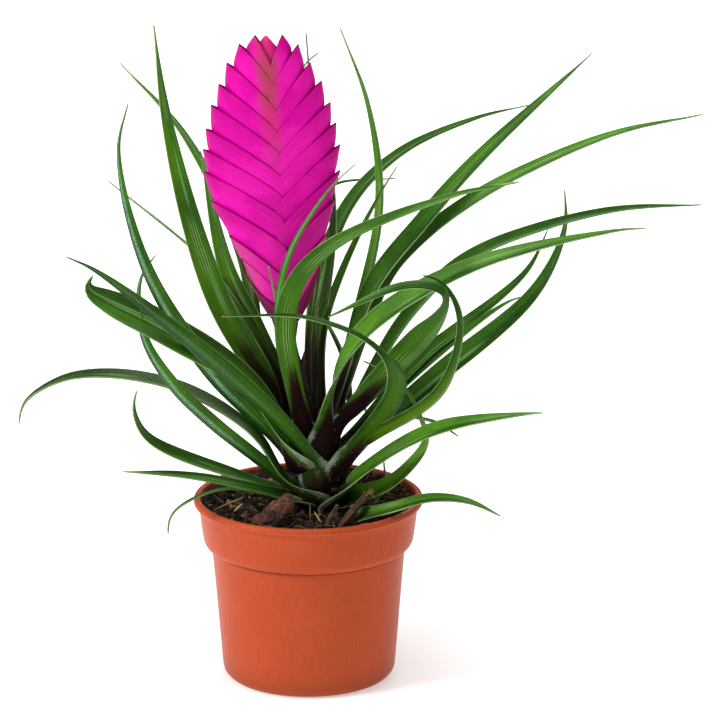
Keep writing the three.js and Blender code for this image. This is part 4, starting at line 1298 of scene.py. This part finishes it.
def makeChip():
    corners, middle = barkForm["chip"], Vector(barkForm["chipMiddle"])
    polar = sorted((math.atan2(z - middle.z, x - middle.x), math.hypot(x - middle.x, z - middle.z)) for x,
                   z in corners)
    rows = [(polar[-1][0] - math.tau, polar[-1][1]), *polar, (polar[0][0] + math.tau, polar[0][1])]
    bm = bmesh.new()
    for vert in startGrid(bm, *barkForm["chipGrid"]):
        turn, rise = math.pi * vert.co.x, math.pi * vert.co.y / 2
        reach = through(rows, turn)
        flat = math.cos(rise) ** 0.55
        front = math.copysign(abs(math.sin(rise)) ** 1.4, rise) * barkForm["chipThickness"] / 2
        spot = middle + Vector((math.cos(turn) * reach * flat, -front, math.sin(turn) * reach * flat))
        torn = 0.9 * noise.fractal(spot / 3.1, 0.6, 2.2, 5) + 0.5 * abs(noise.noise(spot / 1.7))
        outwards = (spot - middle).normalized() * torn * abs(flat)
        vert.co = (spot + outwards) * mm + Vector((0, -torn, 0)) * mm * (1 - flat)
    closeSides(bm)
    piece = finishBmesh(bm, "bark_chip_torn", [barkChip])
    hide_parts("bark_chip")


makeChip()
makeStick("bark_stick_large_torn", barkForm["largeStick"], "bark_stick_large")
makeStick("bark_stick_small_torn", barkForm["smallStick"], "bark_stick_small", 0.35)


strawForm = {
    "seed": 8,
    # Start, end and radius of each long straw
    "straws": [((-36.5, -13, 70.6), (-25, -12, 75.6), 0.3), ((-28.5, -17, 71.2), (-25, -16, 74), 0.5),
               ((1, -22, 68.5), (0.6, -21, 76), 0.12), ((5.3, -25, 69.4), (2.8, -21, 72.4), 0.3)],
    "splinters": 14,  # at the top of the large stick
    "splinterLength": (2, 4.5),
    "splinterRadius": 0.13,
}


def makeStraws():
    rng = random.Random(strawForm["seed"])
    runs = []
    for start, end, radius in strawForm["straws"]:
        heading = Vector(end) - Vector(start)
        runs.append(fibreRun(rng, start, heading, heading.length, radius, wander=0.08))
    top = Vector(barkForm["largeStick"]["to"])
    for _ in range(strawForm["splinters"]):
        heading = (rng.uniform(-0.2, 1), rng.uniform(-0.9, 0.5), rng.uniform(-0.6, 0.7))
        start = top + Vector((rng.uniform(-1, 1), rng.uniform(-1, 1), 0))
        length = rng.uniform(*strawForm["splinterLength"])
        runs.append(fibreRun(rng, start, heading, length, strawForm["splinterRadius"]))
    piece = strands("soil_straws", runs, [paleStraw], 1)
    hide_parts("soil")


makeStraws()
print("bark and straws ready")

# Floor, light and camera
stageForm = {
    "half": 6.0,
    "camera": (0.02024, -1.1588, 0.4392),
    "tilt": 74.94,
    "lens": 154.7,
    "sensor": 36,
    "world": 0.28,
    # Place, aim, size and power of each light
    "lights": {
        "keyLight": ((-1.55, -0.7, 1.15), (0, 0, 0.12), 0.6, 27),
        "topLight": ((0.0, -0.1, 1.8), (0, 0, 0.1), 0.9, 15),
        "fillLight": ((1.3, -0.9, 0.6), (0, 0, 0.12), 1.0, 1.5),
        "backLight": ((0.3, 1.3, 1.0), (0, 0, 0.15), 1.0, 6),
    },
}

floorMaterial, floorTree, floorShader = startMaterial("paleFloor", 0.7)
floorTint = noiseOf(floorTree, placeOf(floorTree), 3.0)
floorShader.inputs["Emission Color"].default_value = (1, 1, 1, 1)
floorRun = node(floorTree, "ShaderNodeVectorMath", {0: placeOf(floorTree)},
                operation="LENGTH").outputs["Value"]
floorTree.links.new(between(floorTree, floorRun, 0.1, 1.3, 0.42, 1.0),
                    floorShader.inputs["Emission Strength"])
floorTree.links.new(mixColour(floorTree, floorTint, (0.86, 0.86, 0.86, 1), (0.9, 0.9, 0.9, 1)),
                    floorShader.inputs["Base Color"])
bm = bmesh.new()
bmesh.ops.create_grid(bm, x_segments=1, y_segments=1, size=stageForm["half"])
floorMesh = bpy.data.meshes.new("floor")
bm.to_mesh(floorMesh)
bm.free()
floorMesh.materials.append(floorMaterial)
floor = bpy.data.objects.new("floor", floorMesh)
bpy.context.scene.collection.objects.link(floor)


def addLight(name, place, aim, size, power):
    light = bpy.data.lights.new(name, "AREA")
    light.shape = "DISK"
    light.size = size
    light.energy = power
    holder = bpy.data.objects.new(name, light)
    holder.location = place
    holder.rotation_euler = (Vector(aim) - Vector(place)).to_track_quat("-Z", "Y").to_euler()
    bpy.context.scene.collection.objects.link(holder)


for title, values in stageForm["lights"].items():
    addLight(title, *values)
world = bpy.data.worlds.new("studio")
bpy.context.scene.world = world
world.use_nodes = True
background = world.node_tree.nodes["Background"].inputs
background["Color"].default_value = (1, 1, 1, 1)
background["Strength"].default_value = stageForm["world"]
camera = bpy.data.objects.new("camera", bpy.data.cameras.new("camera"))
camera.location = stageForm["camera"]
camera.rotation_euler = (math.radians(stageForm["tilt"]), 0, 0)
camera.data.lens = stageForm["lens"]
camera.data.sensor_width = stageForm["sensor"]
camera.data.clip_end = 60
bpy.context.scene.collection.objects.link(camera)
bpy.context.scene.camera = camera
bpy.context.scene.view_settings.view_transform = "Standard"
print("stage ready")
